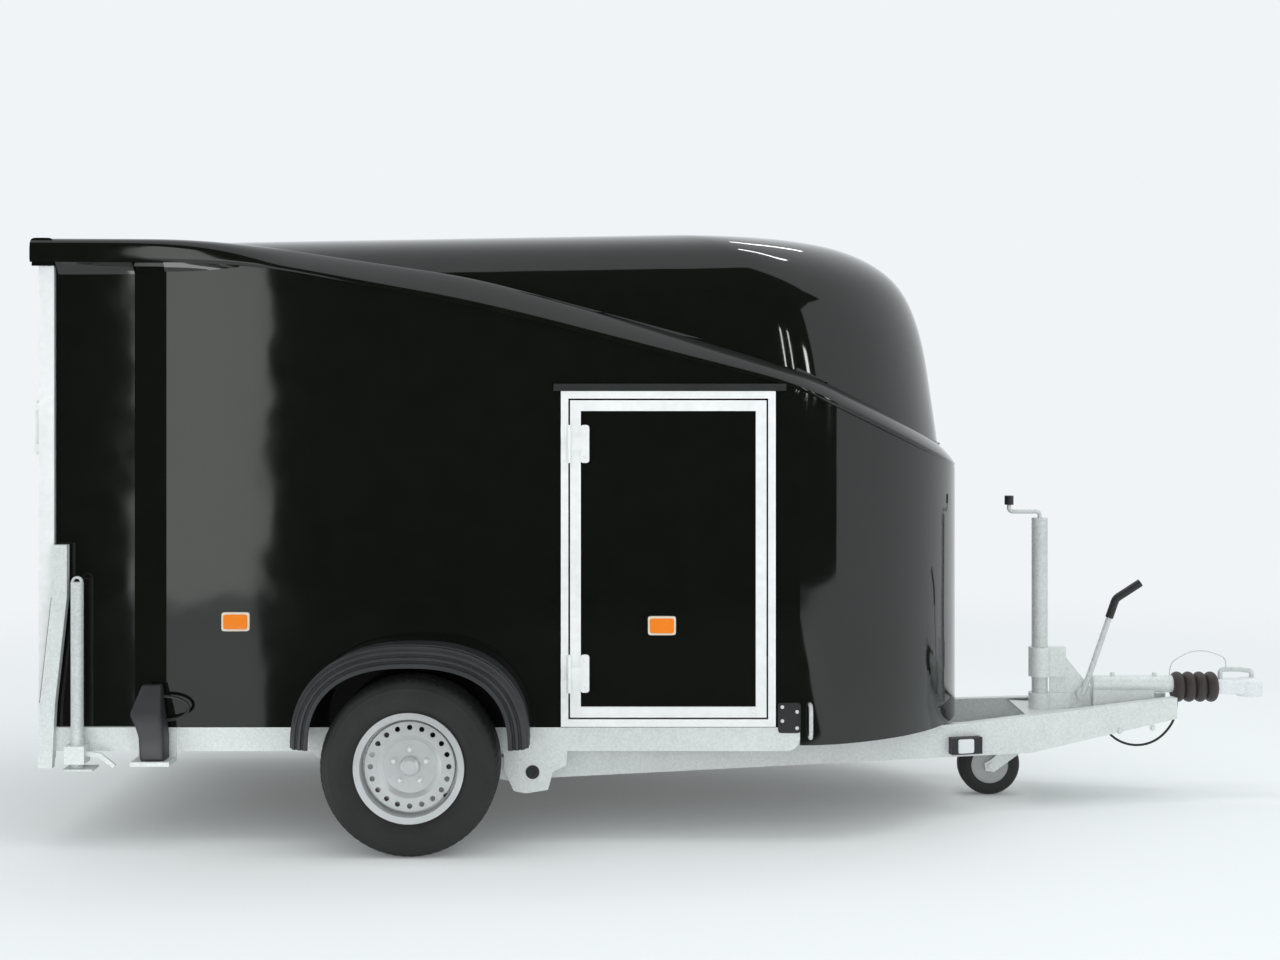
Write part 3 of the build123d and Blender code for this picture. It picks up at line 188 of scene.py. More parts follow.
def bolt_profile(radius, high):
    """Hexagon head on its washer, from the seat to the crown."""
    washer_radius, washer_high = 1.35 * radius, 0.15 * high
    crown_radius, edge_high = 0.85 * radius, 0.9 * high
    return [(0, 0), (0, washer_radius), (washer_high, washer_radius), (washer_high, radius),
            (edge_high, radius), (high, crown_radius), (high, 0)]


def dome_profile(radius, high):
    """Rivet head: a low dome on its seat."""
    swell = np.linspace(0, pi / 2, 6)
    return [(0, 0), *zip(high * np.sin(swell), radius * np.cos(swell))]


ARM_REAR, ARM_FRONT = (0.300, 0.665), (2.766, 0.062)  # arm ends: from the axle, from the middle
ARM_HALF = 0.020
ARM_BOLTS = [(2.54, 0.262), (2.67, 0.268), (1.25, 0.318), (1.10, 0.318)]  # from the axle, height
ARM_BOLT_R, ARM_BOLT_HIGH = 0.0095, 0.010
arm_run = np.array([ARM_FRONT[0] - ARM_REAR[0], ARM_FRONT[1] - ARM_REAR[1]])
arm_run /= np.linalg.norm(arm_run)


def on_arm(x, z, side):
    """Point on the outer face of a drawbar arm at x from the axle; side is -1 right, 1 left."""
    middle = ARM_REAR[1] + (x - ARM_REAR[0]) * arm_run[1] / arm_run[0]
    return (AXLE + x, side * (middle + ARM_HALF / arm_run[0]), z)


arm_bolts = []
for side in (-1, 1):
    outward = (-arm_run[1], side * arm_run[0], 0)
    seats = [on_arm(x, z, side) for x, z in ARM_BOLTS]
    arm_bolts += list(turned(seats, outward, bolt_profile(ARM_BOLT_R, ARM_BOLT_HIGH), 6, (0, 0, 1)))
piece("drawbar_bolts", arm_bolts, "trailer", galvanised)

# Floor deck: birch plywood faced with a dark brown phenolic film, laid on the cross members.
# The film has a fine printed grain and a few paler patches.
moulded_grain, given, out = effect("moulded_grain", ("Grain", "Float", 900.0), dark=(0.02, 0.02, 0.02, 1),
                                   light=(0.04, 0.04, 0.04, 1), smooth=0.4, rough=0.6)
spot = given.outputs["Vector"]
grain = add(moulded_grain, "TexNoise", {"Vector": spot, "Scale": given.outputs["Grain"], "Detail": 2.0})
patches = add(moulded_grain, "TexNoise", {"Vector": spot, "Scale": 9.0, "Detail": 4.0})
both = add(moulded_grain, "Math", {0: grain.outputs["Fac"], 1: patches.outputs["Fac"]}, operation="ADD")
share = add(moulded_grain, "MapRange", {"Value": both.outputs[0], "From Min": 0.6, "From Max": 1.4})
deliver(moulded_grain, given, out, share.outputs[0], patches.outputs["Fac"], grain.outputs["Fac"])
film_faced_board = finish(
    "film_faced_board", moulded_grain,
    {"Grain": 260.0, "Dark": (0.045, 0.026, 0.016, 1), "Light": (0.10, 0.062, 0.040, 1),
     "Smooth": 0.38, "Rough": 0.62},
    bump=0.0006,
)
coat(film_faced_board, "floor_deck")

# Lower body: side walls and bowed nose in glass-fibre with a black gelcoat, polished out of the
# mould. The gloss is deep, with the slow waves that a hand-laid panel keeps.
gelcoat_wave, given, out = effect("gelcoat_wave", ("Waves", "Float", 5.0), dark=(0.002, 0.002, 0.002, 1),
                                  light=(0.005, 0.005, 0.005, 1), smooth=0.03, rough=0.08)
spot = given.outputs["Vector"]
swell = add(gelcoat_wave, "TexNoise", {"Vector": spot, "Scale": given.outputs["Waves"], "Detail": 0.5})
haze = add(gelcoat_wave, "TexNoise", {"Vector": spot, "Scale": 14.0, "Detail": 5.0})
deliver(gelcoat_wave, given, out, haze.outputs["Fac"], haze.outputs["Fac"], swell.outputs["Fac"])
black_gelcoat = finish(
    "black_gelcoat", gelcoat_wave,
    {"Waves": 5.5, "Dark": (0.0035, 0.004, 0.0032, 1), "Light": (0.006, 0.0068, 0.0055, 1),
     "Smooth": 0.035, "Rough": 0.085},
    bump=0.0012, IOR=1.58,
)
coat(black_gelcoat, "side_panel_right", "side_panel_left", "nose_shell")

# Corner plates: black-painted steel under the front corners of the walls, each held to the
# rail by four bright dome rivets.
CORNER_X, CORNER_Z, CORNER_ROUND = (1.2235, 1.300), (0.372, 0.474), 0.012
BODY_HALF = 0.765
PLATE_THICK = 0.003
RIVETS = [(1.238, 0.460), (1.288, 0.444), (1.238, 0.413), (1.288, 0.389)]  # from the axle, height
RIVET_R, RIVET_HIGH = 0.0065, 0.0035
black_plastic = finish(
    "black_plastic", moulded_grain,
    {"Grain": 700.0, "Dark": (0.012, 0.012, 0.012, 1), "Light": (0.024, 0.024, 0.025, 1),
     "Smooth": 0.36, "Rough": 0.52},
    bump=0.0002,
)


def superellipse(t, power):
    """Place on a superellipse as shares of its half sizes: cos t and sin t to a power, signs kept."""
    along, up = np.cos(t), np.sin(t)
    return np.sign(along) * np.abs(along) ** power, np.sign(up) * np.abs(up) ** power


def rounded_plate(middle, wide, high, corner, layers, normal, upward):
    """Plate with a rounded outline, as rings from its back to its face and in to the middle.

    The outline is a superellipse |a|^n + |b|^n = 1 with n = 1.6 * smaller side / corner, at least 2;
    layers are rows of (height above the seat, share of the outline).
    """
    normal, upward = np.asarray(normal, float), np.asarray(upward, float)
    level = np.cross(upward, normal)
    places = 48
    t = np.linspace(0, 2 * pi, places, endpoint=False) + pi / places
    a, b = superellipse(t, 2.0 / max(2.0, 1.6 * min(wide, high) / corner))
    ring = (a * wide / 2)[:, None] * level + (b * high / 2)[:, None] * upward
    lift, size = np.asarray(layers, float).T
    return np.asarray(middle) + lift[:, None, None] * normal + size[:, None, None] * ring[None]


plates, rivets = [], []
for side in (-1, 1):
    middle = (AXLE + sum(CORNER_X) / 2, side * BODY_HALF, sum(CORNER_Z) / 2)
    slab = [(0, 0), (0, 1), (PLATE_THICK, 1), (PLATE_THICK, 0)]
    plates.append(rounded_plate(middle, CORNER_X[1] - CORNER_X[0], CORNER_Z[1] - CORNER_Z[0], CORNER_ROUND,
                                slab, (0, side, 0), (0, 0, 1)))
    seats = [(AXLE + x, side * (BODY_HALF + PLATE_THICK), z) for x, z in RIVETS]
    rivets += list(turned(seats, (0, side, 0), dome_profile(RIVET_R, RIVET_HIGH), 14, (0, 0, 1)))
piece("corner_plates", plates, "trailer", black_plastic)
piece("corner_rivets", rivets, "trailer", galvanised)

# Ledge: a moulded swage with the same gelcoat, from the rear header down round the nose. Its face is
# upright at the tail and lies back into a sloping shoulder further on; coves under the rear flange
# join it to the wall.
LEDGE_ROWS = np.array([
    (-1.302, 1.964, 2.046, 1.964), (-0.763, 1.962, 2.044, 1.961), (-0.510, 1.948, 2.020, 1.918),
    (-0.358, 1.922, 1.996, 1.892), (0.154, 1.823, 1.920, 1.823), (0.412, 1.762, 1.858, 1.762),
    (1.193, 1.566, 1.640, 1.566), (1.290, 1.540, 1.611, 1.540), (2.000, 1.205, 1.259, 1.205),
])  # from the axle, lower edge, upper edge, top of the wall below
LOWER_EDGE, UPPER_EDGE, WALL_TOP = 1, 2, 3  # columns of these rows
BEND_HALF = 0.12  # half the length over which a bend of the edges is rounded
NOSE_START, NOSE_TIP, NOSE_CORNER = 1.298, 1.940, 0.400
TAIL = -1.300
LEDGE_OUT, LEDGE_IN = 0.015, 0.065  # outer edge outside the wall, inner edge inside it
FLANGE_OUT, FLANGE_FROM, FLANGE_RUN = 0.009, -0.2, 0.6  # more at the tail, where it begins, over what run
SLOPE_FROM, SLOPE_RUN = -1.05, 0.65  # where the face begins to lie back, over what run
SQUARE, SLOPING = 5.0, 1.2  # powers of the face before and after
LIP, LIP_IN, BACK_DROP = 0.012, 0.05, 0.03  # lip's height and share inwards, drop behind the top
# skirt against the wall: depth, thickness and place at the nose as shares, gap, top above the lower edge
SKIRT, SKIRT_IN, SKIRT_NOSE, SKIRT_GAP, SKIRT_TOP = 0.012, 0.12, 0.2, 0.0004, 0.002
INNER_PLAN = (BODY_HALF - LEDGE_IN, NOSE_START, NOSE_TIP - LEDGE_IN, NOSE_CORNER - LEDGE_IN, TAIL)


def ledge_edge(x, column):
    """One column of the ledge's rows at x: straight runs averaged over a length, which rounds the bends."""
    near = np.asarray(x)[..., None] + np.linspace(-BEND_HALF, BEND_HALF, 17)
    return np.interp(near, LEDGE_ROWS[:, 0], LEDGE_ROWS[:, column]).mean(axis=-1)


def flange_out(x):
    """How much further out the ledge is at x: nothing at first, then a straight rise towards the tail."""
    return FLANGE_OUT * np.clip((FLANGE_FROM - x) / FLANGE_RUN, 0, 1)


def bow_plan(half, start, tip, corner, tail, run):
    """Plan line of a bow-nosed body, as x and y for a run of 0 to 3.

    Run 0 to 1 is the straight from the tail to start, 1 to 2 an arc of the corner's radius, and 2 to 3 the
    front arc that touches it and ends square at the tip.
    """
    deep, level = tip - start, half - corner
    front = (deep**2 + level**2 - corner**2) / (2 * (deep - corner))
    turn = np.arctan2(level, start - tip + front)
    on_corner = pi / 2 + (turn - pi / 2) * np.clip(run - 1, 0, 1)
    on_front = turn * (1 - np.clip(run - 2, 0, 1))
    arc_x = np.where(run <= 2, start + corner * np.cos(on_corner), tip - front + front * np.cos(on_front))
    arc_y = np.where(run <= 2, level + corner * np.sin(on_corner), front * np.sin(on_front))
    x = np.where(run <= 1, tail + (start - tail) * np.clip(run, 0, 1), arc_x)
    y = np.where(run <= 1, half, arc_y)
    return x, y


def plan_run(straight, bend):
    """A run of 0 to 3 for a plan line, with so many places on the straight and on each arc."""
    corner, front = np.linspace(1, 2, bend)[1:], np.linspace(2, 3, bend)[1:]
    return np.concatenate([np.linspace(0, 1, straight), corner, front])


def closed_ends(grid, last=True):
    """The grid with its end rows drawn together to their middles, which closes it; the last only if asked."""
    first_end = np.broadcast_to(grid[:1].mean(axis=1, keepdims=True), grid[:1].shape)
    last_end = np.broadcast_to(grid[-1:].mean(axis=1, keepdims=True), grid[-1:].shape)
    return np.concatenate([first_end, grid, last_end] if last else [first_end, grid])


def ledge_strip(side):
    """One side of the ledge: a rounded section carried along the plan line from the tail to the nose tip.

    The face is a quarter of a superellipse, 1 - cos(t)^(2/p) inwards and sin(t)^(2/p) upwards, whose power p
    falls from 5 at the tail, nearly square, to 1.2, nearly a straight slope; a lip, an underside and a skirt
    against the wall close it.
    """
    run = plan_run(120, 40)
    x, y = bow_plan(BODY_HALF + LEDGE_OUT, NOSE_START, NOSE_TIP, NOSE_CORNER, TAIL, run)
    in_x, in_y = bow_plan(*INNER_PLAN, run)
    y = y + flange_out(x)
    low, high = ledge_edge(x, LOWER_EDGE)[:, None], ledge_edge(in_x, UPPER_EDGE)[:, None]
    foot = ledge_edge(x, WALL_TOP)[:, None] - SKIRT
    ease = np.clip((x - SLOPE_FROM) / SLOPE_RUN, 0, 1)
    power = (2 / (SQUARE + (SLOPING - SQUARE) * ease * ease * (3 - 2 * ease)))[:, None]
    t = np.linspace(0, pi / 2, 15)
    wall = ((y - BODY_HALF - SKIRT_GAP) / (y - in_y + 1e-9))[:, None]  # the sliver keeps the tip defined
    wall = np.where(run[:, None] > 1, SKIRT_NOSE, wall)
    ones = np.ones_like(low)
    inward = np.hstack([LIP_IN * ones, 1 - np.cos(t) ** power, ones, wall + SKIRT_IN, wall, wall])
    face = low + LIP + np.sin(t) ** power * (high - low - LIP)
    height = np.hstack([low, face, high - BACK_DROP, foot, foot, low + SKIRT_TOP])
    strip = np.stack([AXLE + x[:, None] + inward * (in_x - x)[:, None],
                      side * (y[:, None] + inward * (in_y - y)[:, None]), height], -1)
    return closed_ends(strip, last=False)


HEADER_MID, HEADER_HALF, HEADER_RISE = (AXLE - 1.2625, 2.005), 0.0395, 0.041
HEADER_REACH, HEADER_ROUND = 0.776, 0.35
round_x, round_z = superellipse(np.linspace(0, 2 * pi, 40, endpoint=False), HEADER_ROUND)
header_y = np.linspace(-HEADER_REACH, HEADER_REACH, 9)[:, None]
header = np.stack(np.broadcast_arrays(HEADER_MID[0] + round_x * HEADER_HALF, header_y,
                                      HEADER_MID[1] + round_z * HEADER_RISE), -1)
ledge = piece("ledge_moulding", [ledge_strip(-1), ledge_strip(1), closed_ends(header)], "trailer",
              black_gelcoat, crease=50.0)
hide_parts("body_ledge")

COVE_ROWS = [
    (-1.215, -0.956, 0.747, 0.040, 0.038), (-0.850, -0.600, 0.765, 0.030, 0.006),
]  # start and end from the axle, the wall's place, depth at the start and at the end
# inset from the flange's edge; then shares: hollow, sunk into the wall, lap on the flange
COVE_INSET, COVE_HOLLOW, COVE_SUNK, COVE_LAP = 0.004, 0.08, -0.1, 0.04
coves = []
for side in (-1, 1):
    for start, end, wall, deep, fade in COVE_ROWS:
        x = np.linspace(start, end, 24)[:, None]
        depth = deep + (fade - deep) * ((x - start) / (end - start)) ** 2
        reach = BODY_HALF + LEDGE_OUT + flange_out(x) - COVE_INSET - wall
        t = np.linspace(0, 1, 7)
        stand = np.concatenate([1 - t - COVE_HOLLOW * np.sin(pi * t), (COVE_SUNK, COVE_SUNK)])
        down = np.concatenate([-t, (-1.0, COVE_LAP)])
        cove = np.stack(np.broadcast_arrays(AXLE + x, side * (wall + reach * stand),
                                            ledge_edge(x, LOWER_EDGE) + down * depth), -1)
        coves.append(closed_ends(cove))
piece("flange_coves", coves, "trailer", black_gelcoat)

# Roof: one domed glass-fibre moulding with a black gelcoat, bowed in plan at the nose and drawn in
# towards its crown, bonded to the ledge along its foot.
ROOF_ROWS = np.array([
    (1.180, 0.050, 0.947), (1.340, 0.069, 0.942), (1.500, 0.092, 0.938), (1.660, 0.118, 0.932),
    (1.800, 0.159, 0.917), (1.910, 0.224, 0.880), (1.990, 0.328, 0.820), (2.045, 0.470, 0.724),
    (2.078, 0.678, 0.565), (2.092, 0.940, 0.360),
])  # height, setback from the nose tip, share of the half width
ROOF_TILT, ROOF_MID, ROOF_TAIL, NOSE_SHARE, ROOF_CORNER = radians(1.0), 0.757, -1.292, 0.8392, 0.53
ROOF_WALL, CROWN, CROWN_STEPS = 0.012, 0.003, 8
FOOT_LAP, FOOT_SUNK, CLIMB = 0.010, 0.002, 2.2  # climb's start and foot below the ledge's edge, power


def smooth_rows(rows, steps):
    """Natural cubic spline through evenly spaced rows: curvature is continuous, and 0 at both ends."""
    count = len(rows)
    system = np.eye(count) * 4 + np.eye(count, k=1) + np.eye(count, k=-1)
    system[0], system[-1] = np.eye(count)[0], np.eye(count)[-1]
    bend = np.zeros_like(rows)
    bend[1:-1] = 6 * (rows[2:] - 2 * rows[1:-1] + rows[:-2])
    bend = np.linalg.solve(system, bend)
    u = np.linspace(0, count - 1, steps)
    i = np.minimum(u.astype(int), count - 2)
    b = (u - i)[:, None]
    a = 1 - b
    return a * rows[i] + b * rows[i + 1] + ((a**3 - a) * bend[i] + (b**3 - b) * bend[i + 1]) / 6


def roof():
    """The dome as a grid: run round the plan from tail to tail, and climb from the ledge to the crown line.

    At each height the plan is the bow-nosed line whose half width and setback come from the smooth rows; the
    climb slows towards the crown, and the first row is the foot on the ledge's inner edge.
    """
    right = plan_run(90, 32)
    run = np.concatenate([right, right[-2::-1]])[None]
    side = np.concatenate([-np.ones(len(right)), np.ones(len(right) - 1)])[None]
    high_row, setback_row, share_row = smooth_rows(ROOF_ROWS, 600).T
    foot_x, foot_y = bow_plan(*INNER_PLAN, run)
    foot_z = ledge_edge(foot_x, UPPER_EDGE)
    base = foot_z - (foot_x - ROOF_MID) * np.sin(ROOF_TILT) - FOOT_LAP
    climb = 1 - (1 - np.linspace(0, 1, 64)[:, None]) ** CLIMB
    height = base + (ROOF_ROWS[-1, 0] - base) * climb
    half = BODY_HALF * np.interp(height, high_row, share_row)
    tip = NOSE_TIP - np.interp(height, high_row, setback_row)
    x, y = bow_plan(half, tip - NOSE_SHARE * half, tip, ROOF_CORNER * half, ROOF_TAIL, run)
    z = height + (x - ROOF_MID) * np.sin(ROOF_TILT)
    draw = np.linspace(1, 0, CROWN_STEPS + 1)[1:, None]
    return np.stack([np.vstack([foot_x, x, np.repeat(x[-1:], CROWN_STEPS, 0)]) + AXLE,
                     side * np.vstack([foot_y, y, y[-1:] * draw]),
                     np.vstack([foot_z - FOOT_SUNK, z, z[-1:] + CROWN * (1 - draw**2)])], -1)


dome = piece("roof_moulding", [roof()], "trailer", black_gelcoat, crease=50.0)
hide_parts("roof_shell")
skin = dome.modifiers.new("wall", "SOLIDIFY")
skin.thickness = ROOF_WALL
skin.offset = 1.0

# Side door: a frame of drawn aluminium sections round a leaf with its own aluminium edge and a
# black glass-fibre panel; strap hinges, a barrel lock and a plastic drip strip over the top.
brushed_metal, given, out = effect("brushed_metal", ("Stretch", "Vector", (600, 600, 20)),
                                   dark=(0.6, 0.6, 0.6, 1), light=(0.85, 0.85, 0.85, 1),
                                   smooth=0.25, rough=0.42)
spot = given.outputs["Vector"]
drawn = add(brushed_metal, "VectorMath", {0: spot, 1: given.outputs["Stretch"]}, operation="MULTIPLY")
lines = add(brushed_metal, "TexNoise", {"Vector": drawn.outputs[0], "Scale": 1.0, "Detail": 3.0})
tarnish = add(brushed_metal, "TexNoise", {"Vector": spot, "Scale": 6.0, "Detail": 4.0})
both = add(brushed_metal, "Math", {0: lines.outputs["Fac"], 1: tarnish.outputs["Fac"]}, operation="ADD")
share = add(brushed_metal, "MapRange", {"Value": both.outputs[0], "From Min": 0.6, "From Max": 1.4})
deliver(brushed_metal, given, out, share.outputs[0], lines.outputs["Fac"], lines.outputs["Fac"])
bright_aluminium = finish(
    "bright_aluminium", brushed_metal,
    {"Stretch": (40, 700, 40), "Dark": (0.80, 0.82, 0.81, 1), "Light": (0.92, 0.94, 0.93, 1),
     "Smooth": 0.26, "Rough": 0.40},
    bump=0.00005, Metallic=0.1,
)
coat(bright_aluminium, "door_frame", "door_leaf", "door_hinges")
coat(black_gelcoat, "door_panel")
coat(black_plastic, "drip_strip")
LOCK = (AXLE + 1.137, -0.775, 0.4442)
BARREL = [(0, 0), (0, 0.014), (0.004, 0.014), (0.005, 0.012), (0.005, 0.0095), (0.009, 0.009),
          (0.010, 0.0075), (0.010, 0.003), (0.0075, 0.003), (0.0075, 0)]
HINGE_LEVELS, HINGE_X, HINGE_FACE = (0.575, 1.350), 0.571, -0.783
SCREW_RISE, SCREW_R, SCREW_HIGH = 0.044, 0.005, 0.003
piece("door_lock", list(turned([LOCK], (0, -1, 0), BARREL, 28, (0, 0, 1))), "side_door",
      bright_aluminium)
strap_screws = []
for level in HINGE_LEVELS:
    seats = [(AXLE + HINGE_X, HINGE_FACE, level + rise) for rise in (-SCREW_RISE, SCREW_RISE)]
    strap_screws += list(turned(seats, (0, -1, 0), dome_profile(SCREW_R, SCREW_HIGH), 12, (0, 0, 1)))
piece("hinge_screws", strap_screws, "side_door", bright_aluminium)

# Side marker lamps: amber lenses with a fine prism pattern, each set in a cream reflector rim
# that is screwed flat to the wall.
MARKER_WIDE, MARKER_HIGH, MARKER_CORNER = 0.095, 0.064, 0.010
MARKER_RIM = [(0, 0), (0, 1), (0.008, 1), (0.010, 0.985), (0.010, 0)]
MARKER_BORDER, LENS_CORNER = 0.014, 0.009
MARKER_LENS = [(0.009, 0), (0.009, 1), (0.012, 1), (0.014, 0.96), (0.015, 0.7), (0.0154, 0)]
rim_cream = finish(
    "cream_rim", moulded_grain,
    {"Grain": 300.0, "Dark": (0.66, 0.60, 0.48, 1), "Light": (0.80, 0.75, 0.64, 1),
     "Smooth": 0.3, "Rough": 0.42},
    bump=0.0001,
)
prisms, given, out = effect("lens_prisms", ("Pitch", "Float", 1400.0), dark=(0.5, 0.2, 0.0, 1),
                            light=(0.9, 0.4, 0.0, 1), smooth=0.1, rough=0.25)
spot = given.outputs["Vector"]
scaled = add(prisms, "VectorMath", {0: spot, "Scale": given.outputs["Pitch"]}, operation="SCALE")
ridges = add(prisms, "VectorMath", {0: scaled.outputs[0]}, operation="SINE")
parts = add(prisms, "SeparateXYZ", {0: ridges.outputs[0]})
crossed = add(prisms, "Math", {0: parts.outputs["X"], 1: parts.outputs["Z"]}, operation="MULTIPLY")
share = add(prisms, "MapRange", {"Value": crossed.outputs[0], "From Min": -1.0, "From Max": 1.0})
deliver(prisms, given, out, share.outputs[0], share.outputs[0], share.outputs[0])
amber_lens = finish("amber_lens", prisms, {"Dark": (0.84, 0.17, 0.002, 1), "Light": (0.94, 0.27, 0.004, 1)},
                    bump=0.0003)


def marker(name, rows, body, *nodes):
    """Rim and lens for each row of (x from the axle, seat, height, side), as two pieces."""
    rims, lenses = [], []
    for x, seat, z, side in rows:
        middle = (AXLE + x, side * seat, z)
        rims.append(rounded_plate(middle, MARKER_WIDE, MARKER_HIGH, MARKER_CORNER, MARKER_RIM,
                                  (0, side, 0), (0, 0, 1)))
        lenses.append(rounded_plate(middle, MARKER_WIDE - MARKER_BORDER, MARKER_HIGH - MARKER_BORDER,
                                    LENS_CORNER, MARKER_LENS, (0, side, 0), (0, 0, 1)))
    rim = piece(name + "_rims", rims, body, rim_cream)
    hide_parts(*nodes)
    piece(name + "_lenses", lenses, body, amber_lens)


REAR_MARKER, FRONT_MARKER = (-0.609, 0.749), (0.831, 0.736)  # from the axle, height
wall_rows = [(REAR_MARKER[0], BODY_HALF, REAR_MARKER[1], -1), (REAR_MARKER[0], BODY_HALF, REAR_MARKER[1], 1),
             (FRONT_MARKER[0], BODY_HALF, FRONT_MARKER[1], 1)]
marker("side_marker", wall_rows, "trailer", "side_markers")
door_face = -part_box("door_marker")[1][1]
marker("door_marker", [(FRONT_MARKER[0], door_face, FRONT_MARKER[1], -1)], "side_door", "door_marker")

# Fenders: ribbed mudguards, each moulded in one piece from dark grey polythene. They arch over the
# road wheels and are screwed to the wall along their inner edge.
dark_plastic = finish(
    "grey_polythene", moulded_grain,
    {"Grain": 420.0, "Dark": (0.022, 0.023, 0.024, 1), "Light": (0.038, 0.041, 0.042, 1),
     "Smooth": 0.42, "Rough": 0.6},
    bump=0.0004,
)
FENDER_HALF, FENDER_FOOT, FENDER_RISE, FENDER_POWER, FENDER_STEPS = 0.386, 0.358, 0.327, 2.4, 97
FENDER_SECTION = np.array([
    (0.766, 0.000), (0.850, 0.000), (0.880, 0.000), (0.886, -0.006), (0.906, -0.006), (0.912, 0.000),
    (0.925, 0.001), (0.931, -0.006), (0.953, -0.006), (0.960, 0.001), (0.972, 0.004), (0.983, 0.009),
    (0.987, 0.014), (0.982, 0.018), (0.982, 0.022), (0.991, 0.026), (0.994, 0.034), (0.988, 0.038),
    (0.988, 0.042), (0.9975, 0.046), (0.9985, 0.053), (0.998, 0.059), (0.994, 0.060), (0.984, 0.056),
    (0.983, 0.036), (0.977, 0.029), (0.972, 0.016), (0.962, 0.009), (0.900, 0.006), (0.766, 0.006),
])  # across from the middle, depth inside the crown line


def fender(side):
    """Ribbed section carried round an arch, the superellipse |x/a|^n + |z/b|^n = 1 over the wheel."""
    arch_x, arch_z = superellipse(np.linspace(0, pi, FENDER_STEPS), 2 / FENDER_POWER)
    x = FENDER_HALF * arch_x
    z = FENDER_FOOT + FENDER_RISE * arch_z
    run = np.stack([np.gradient(x), np.gradient(z)], -1)
    run /= np.linalg.norm(run, axis=1)[:, None]
    across, deep = FENDER_SECTION.T
    return closed_ends(np.stack([AXLE + x[:, None] - run[:, 1:] * deep,
                                 np.broadcast_to(side * across, (FENDER_STEPS, len(across))),
                                 z[:, None] + run[:, :1] * deep], -1))


arches = piece("fender_arches", [fender(-1), fender(1)], "trailer", dark_plastic, crease=40.0)
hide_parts("fenders")

# Wheel chock: a hollow wedge moulded in the same plastic, stowed upright on the right rail, with a cord
# handle through its heel.
CHOCK_ROWS = np.array([
    (0.297, -0.9120, -0.8290, 0.856), (0.304, -0.9130, -0.8286, 0.861), (0.374, -0.9160, -0.8286, 0.863),
    (0.415, -0.9290, -0.8330, 0.863), (0.446, -0.9440, -0.8390, 0.863), (0.458, -0.9440, -0.8410, 0.859),
    (0.480, -0.9360, -0.8440, 0.846), (0.530, -0.9200, -0.8500, 0.818), (0.540, -0.9150, -0.8530, 0.812),
])  # height, rear and front from the axle, outer face from the middle
CHOCK_BACK, CHOCK_ROUND = 0.775, 0.3
HANDLE_X, HANDLE_Y, HANDLE_Z = -0.846, -0.800, 0.462
HANDLE_OUT, HANDLE_HALF, HANDLE_R, HANDLE_STEPS = 0.085, 0.040, 0.0055, 25
t = np.linspace(0, 2 * pi, 36, endpoint=False)
level, rear, front, outer = (column[:, None] for column in CHOCK_ROWS.T)
square_a, square_b = superellipse(t, CHOCK_ROUND)
chock = np.stack([AXLE + (rear + front) / 2 + (front - rear) / 2 * square_a,
                  -((outer + CHOCK_BACK) / 2 + (outer - CHOCK_BACK) / 2 * square_b), level + 0 * t], -1)
wedge = piece("chock_moulding", [closed_ends(chock)], "trailer", dark_plastic, crease=40.0)
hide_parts("wheel_chock")
bow = np.linspace(-pi / 2, pi / 2, HANDLE_STEPS)
loop = np.stack([AXLE + HANDLE_X + HANDLE_OUT * np.cos(bow), np.full(HANDLE_STEPS, HANDLE_Y),
                 HANDLE_Z + HANDLE_HALF * np.sin(bow)], -1)
spoke = np.stack([np.cos(bow), 0 * bow, np.sin(bow)], -1)[:, None]
t = t[None, ::4, None]
loop_tube = loop[:, None] + HANDLE_R * (np.cos(t) * spoke + np.sin(t) * np.array((0, 1.0, 0)))
piece("chock_handle", [closed_ends(loop_tube)], "trailer", black_plastic)

# Suspension bushes: black rubber plugs, pressed into the pivot tubes of the trailing arms, with a
# shallow recess in their outer face.
BUSH = [(-0.004, 0), (-0.004, 0.0235), (0.002, 0.0235), (0.003, 0.021), (0.003, 0.010), (0.001, 0.008),
        (0.001, 0)]
BUSH_X, BUSH_Z = 0.394, 0.240
bushes = []
for side in (-1, 1):
    seat = (AXLE + BUSH_X, side * BODY_HALF, BUSH_Z)
    bushes += list(turned([seat], (0, side, 0), BUSH, 24, (0, 0, 1)))
piece("pivot_bushes", bushes, "trailer", black_plastic)

# Tyres: road tyres in matt black rubber, with four main grooves, slanted shoulder slots and fine
# sipes between, and plain sidewalls with two moulding rings.
TYRE_R, TYRE_WIDE, TYRE_MID = 0.2945, 0.185, 0.8925
TREAD_HALF, TREAD_FROM, CROWN_DROP = 0.0565, 0.276, 0.001
HALF_SECTION = np.array([(0.0165, 0.166), (0.0165, 0.186), (0.004, 0.206), (0.0, 0.230), (0.002, 0.252),
                         (0.006, 0.268), (0.012, 0.279), (0.022, 0.288), (0.036, 0.2935)])  # inset, radius
GROOVE, GROOVE_DEEP, GROOVE_PLACES = 0.0070, 0.0065, (0.013, 0.038)
SLOTS, SLOT_SLANT, SLOT_BAND, SLOT_SHARE, SLOT_DEEP = 64, 22, (0.042, 0.074), 0.18, 0.0050
SIPE_BAND, SIPE_SHARE, SIPE_DEEP = (0.017, 0.034), 0.1, 0.0035
RIDGE_IN, RIDGE_OUT, RIDGE_HALF = (0.0022, 0.214), (0.0018, 0.262), 0.003  # height and radius; half width


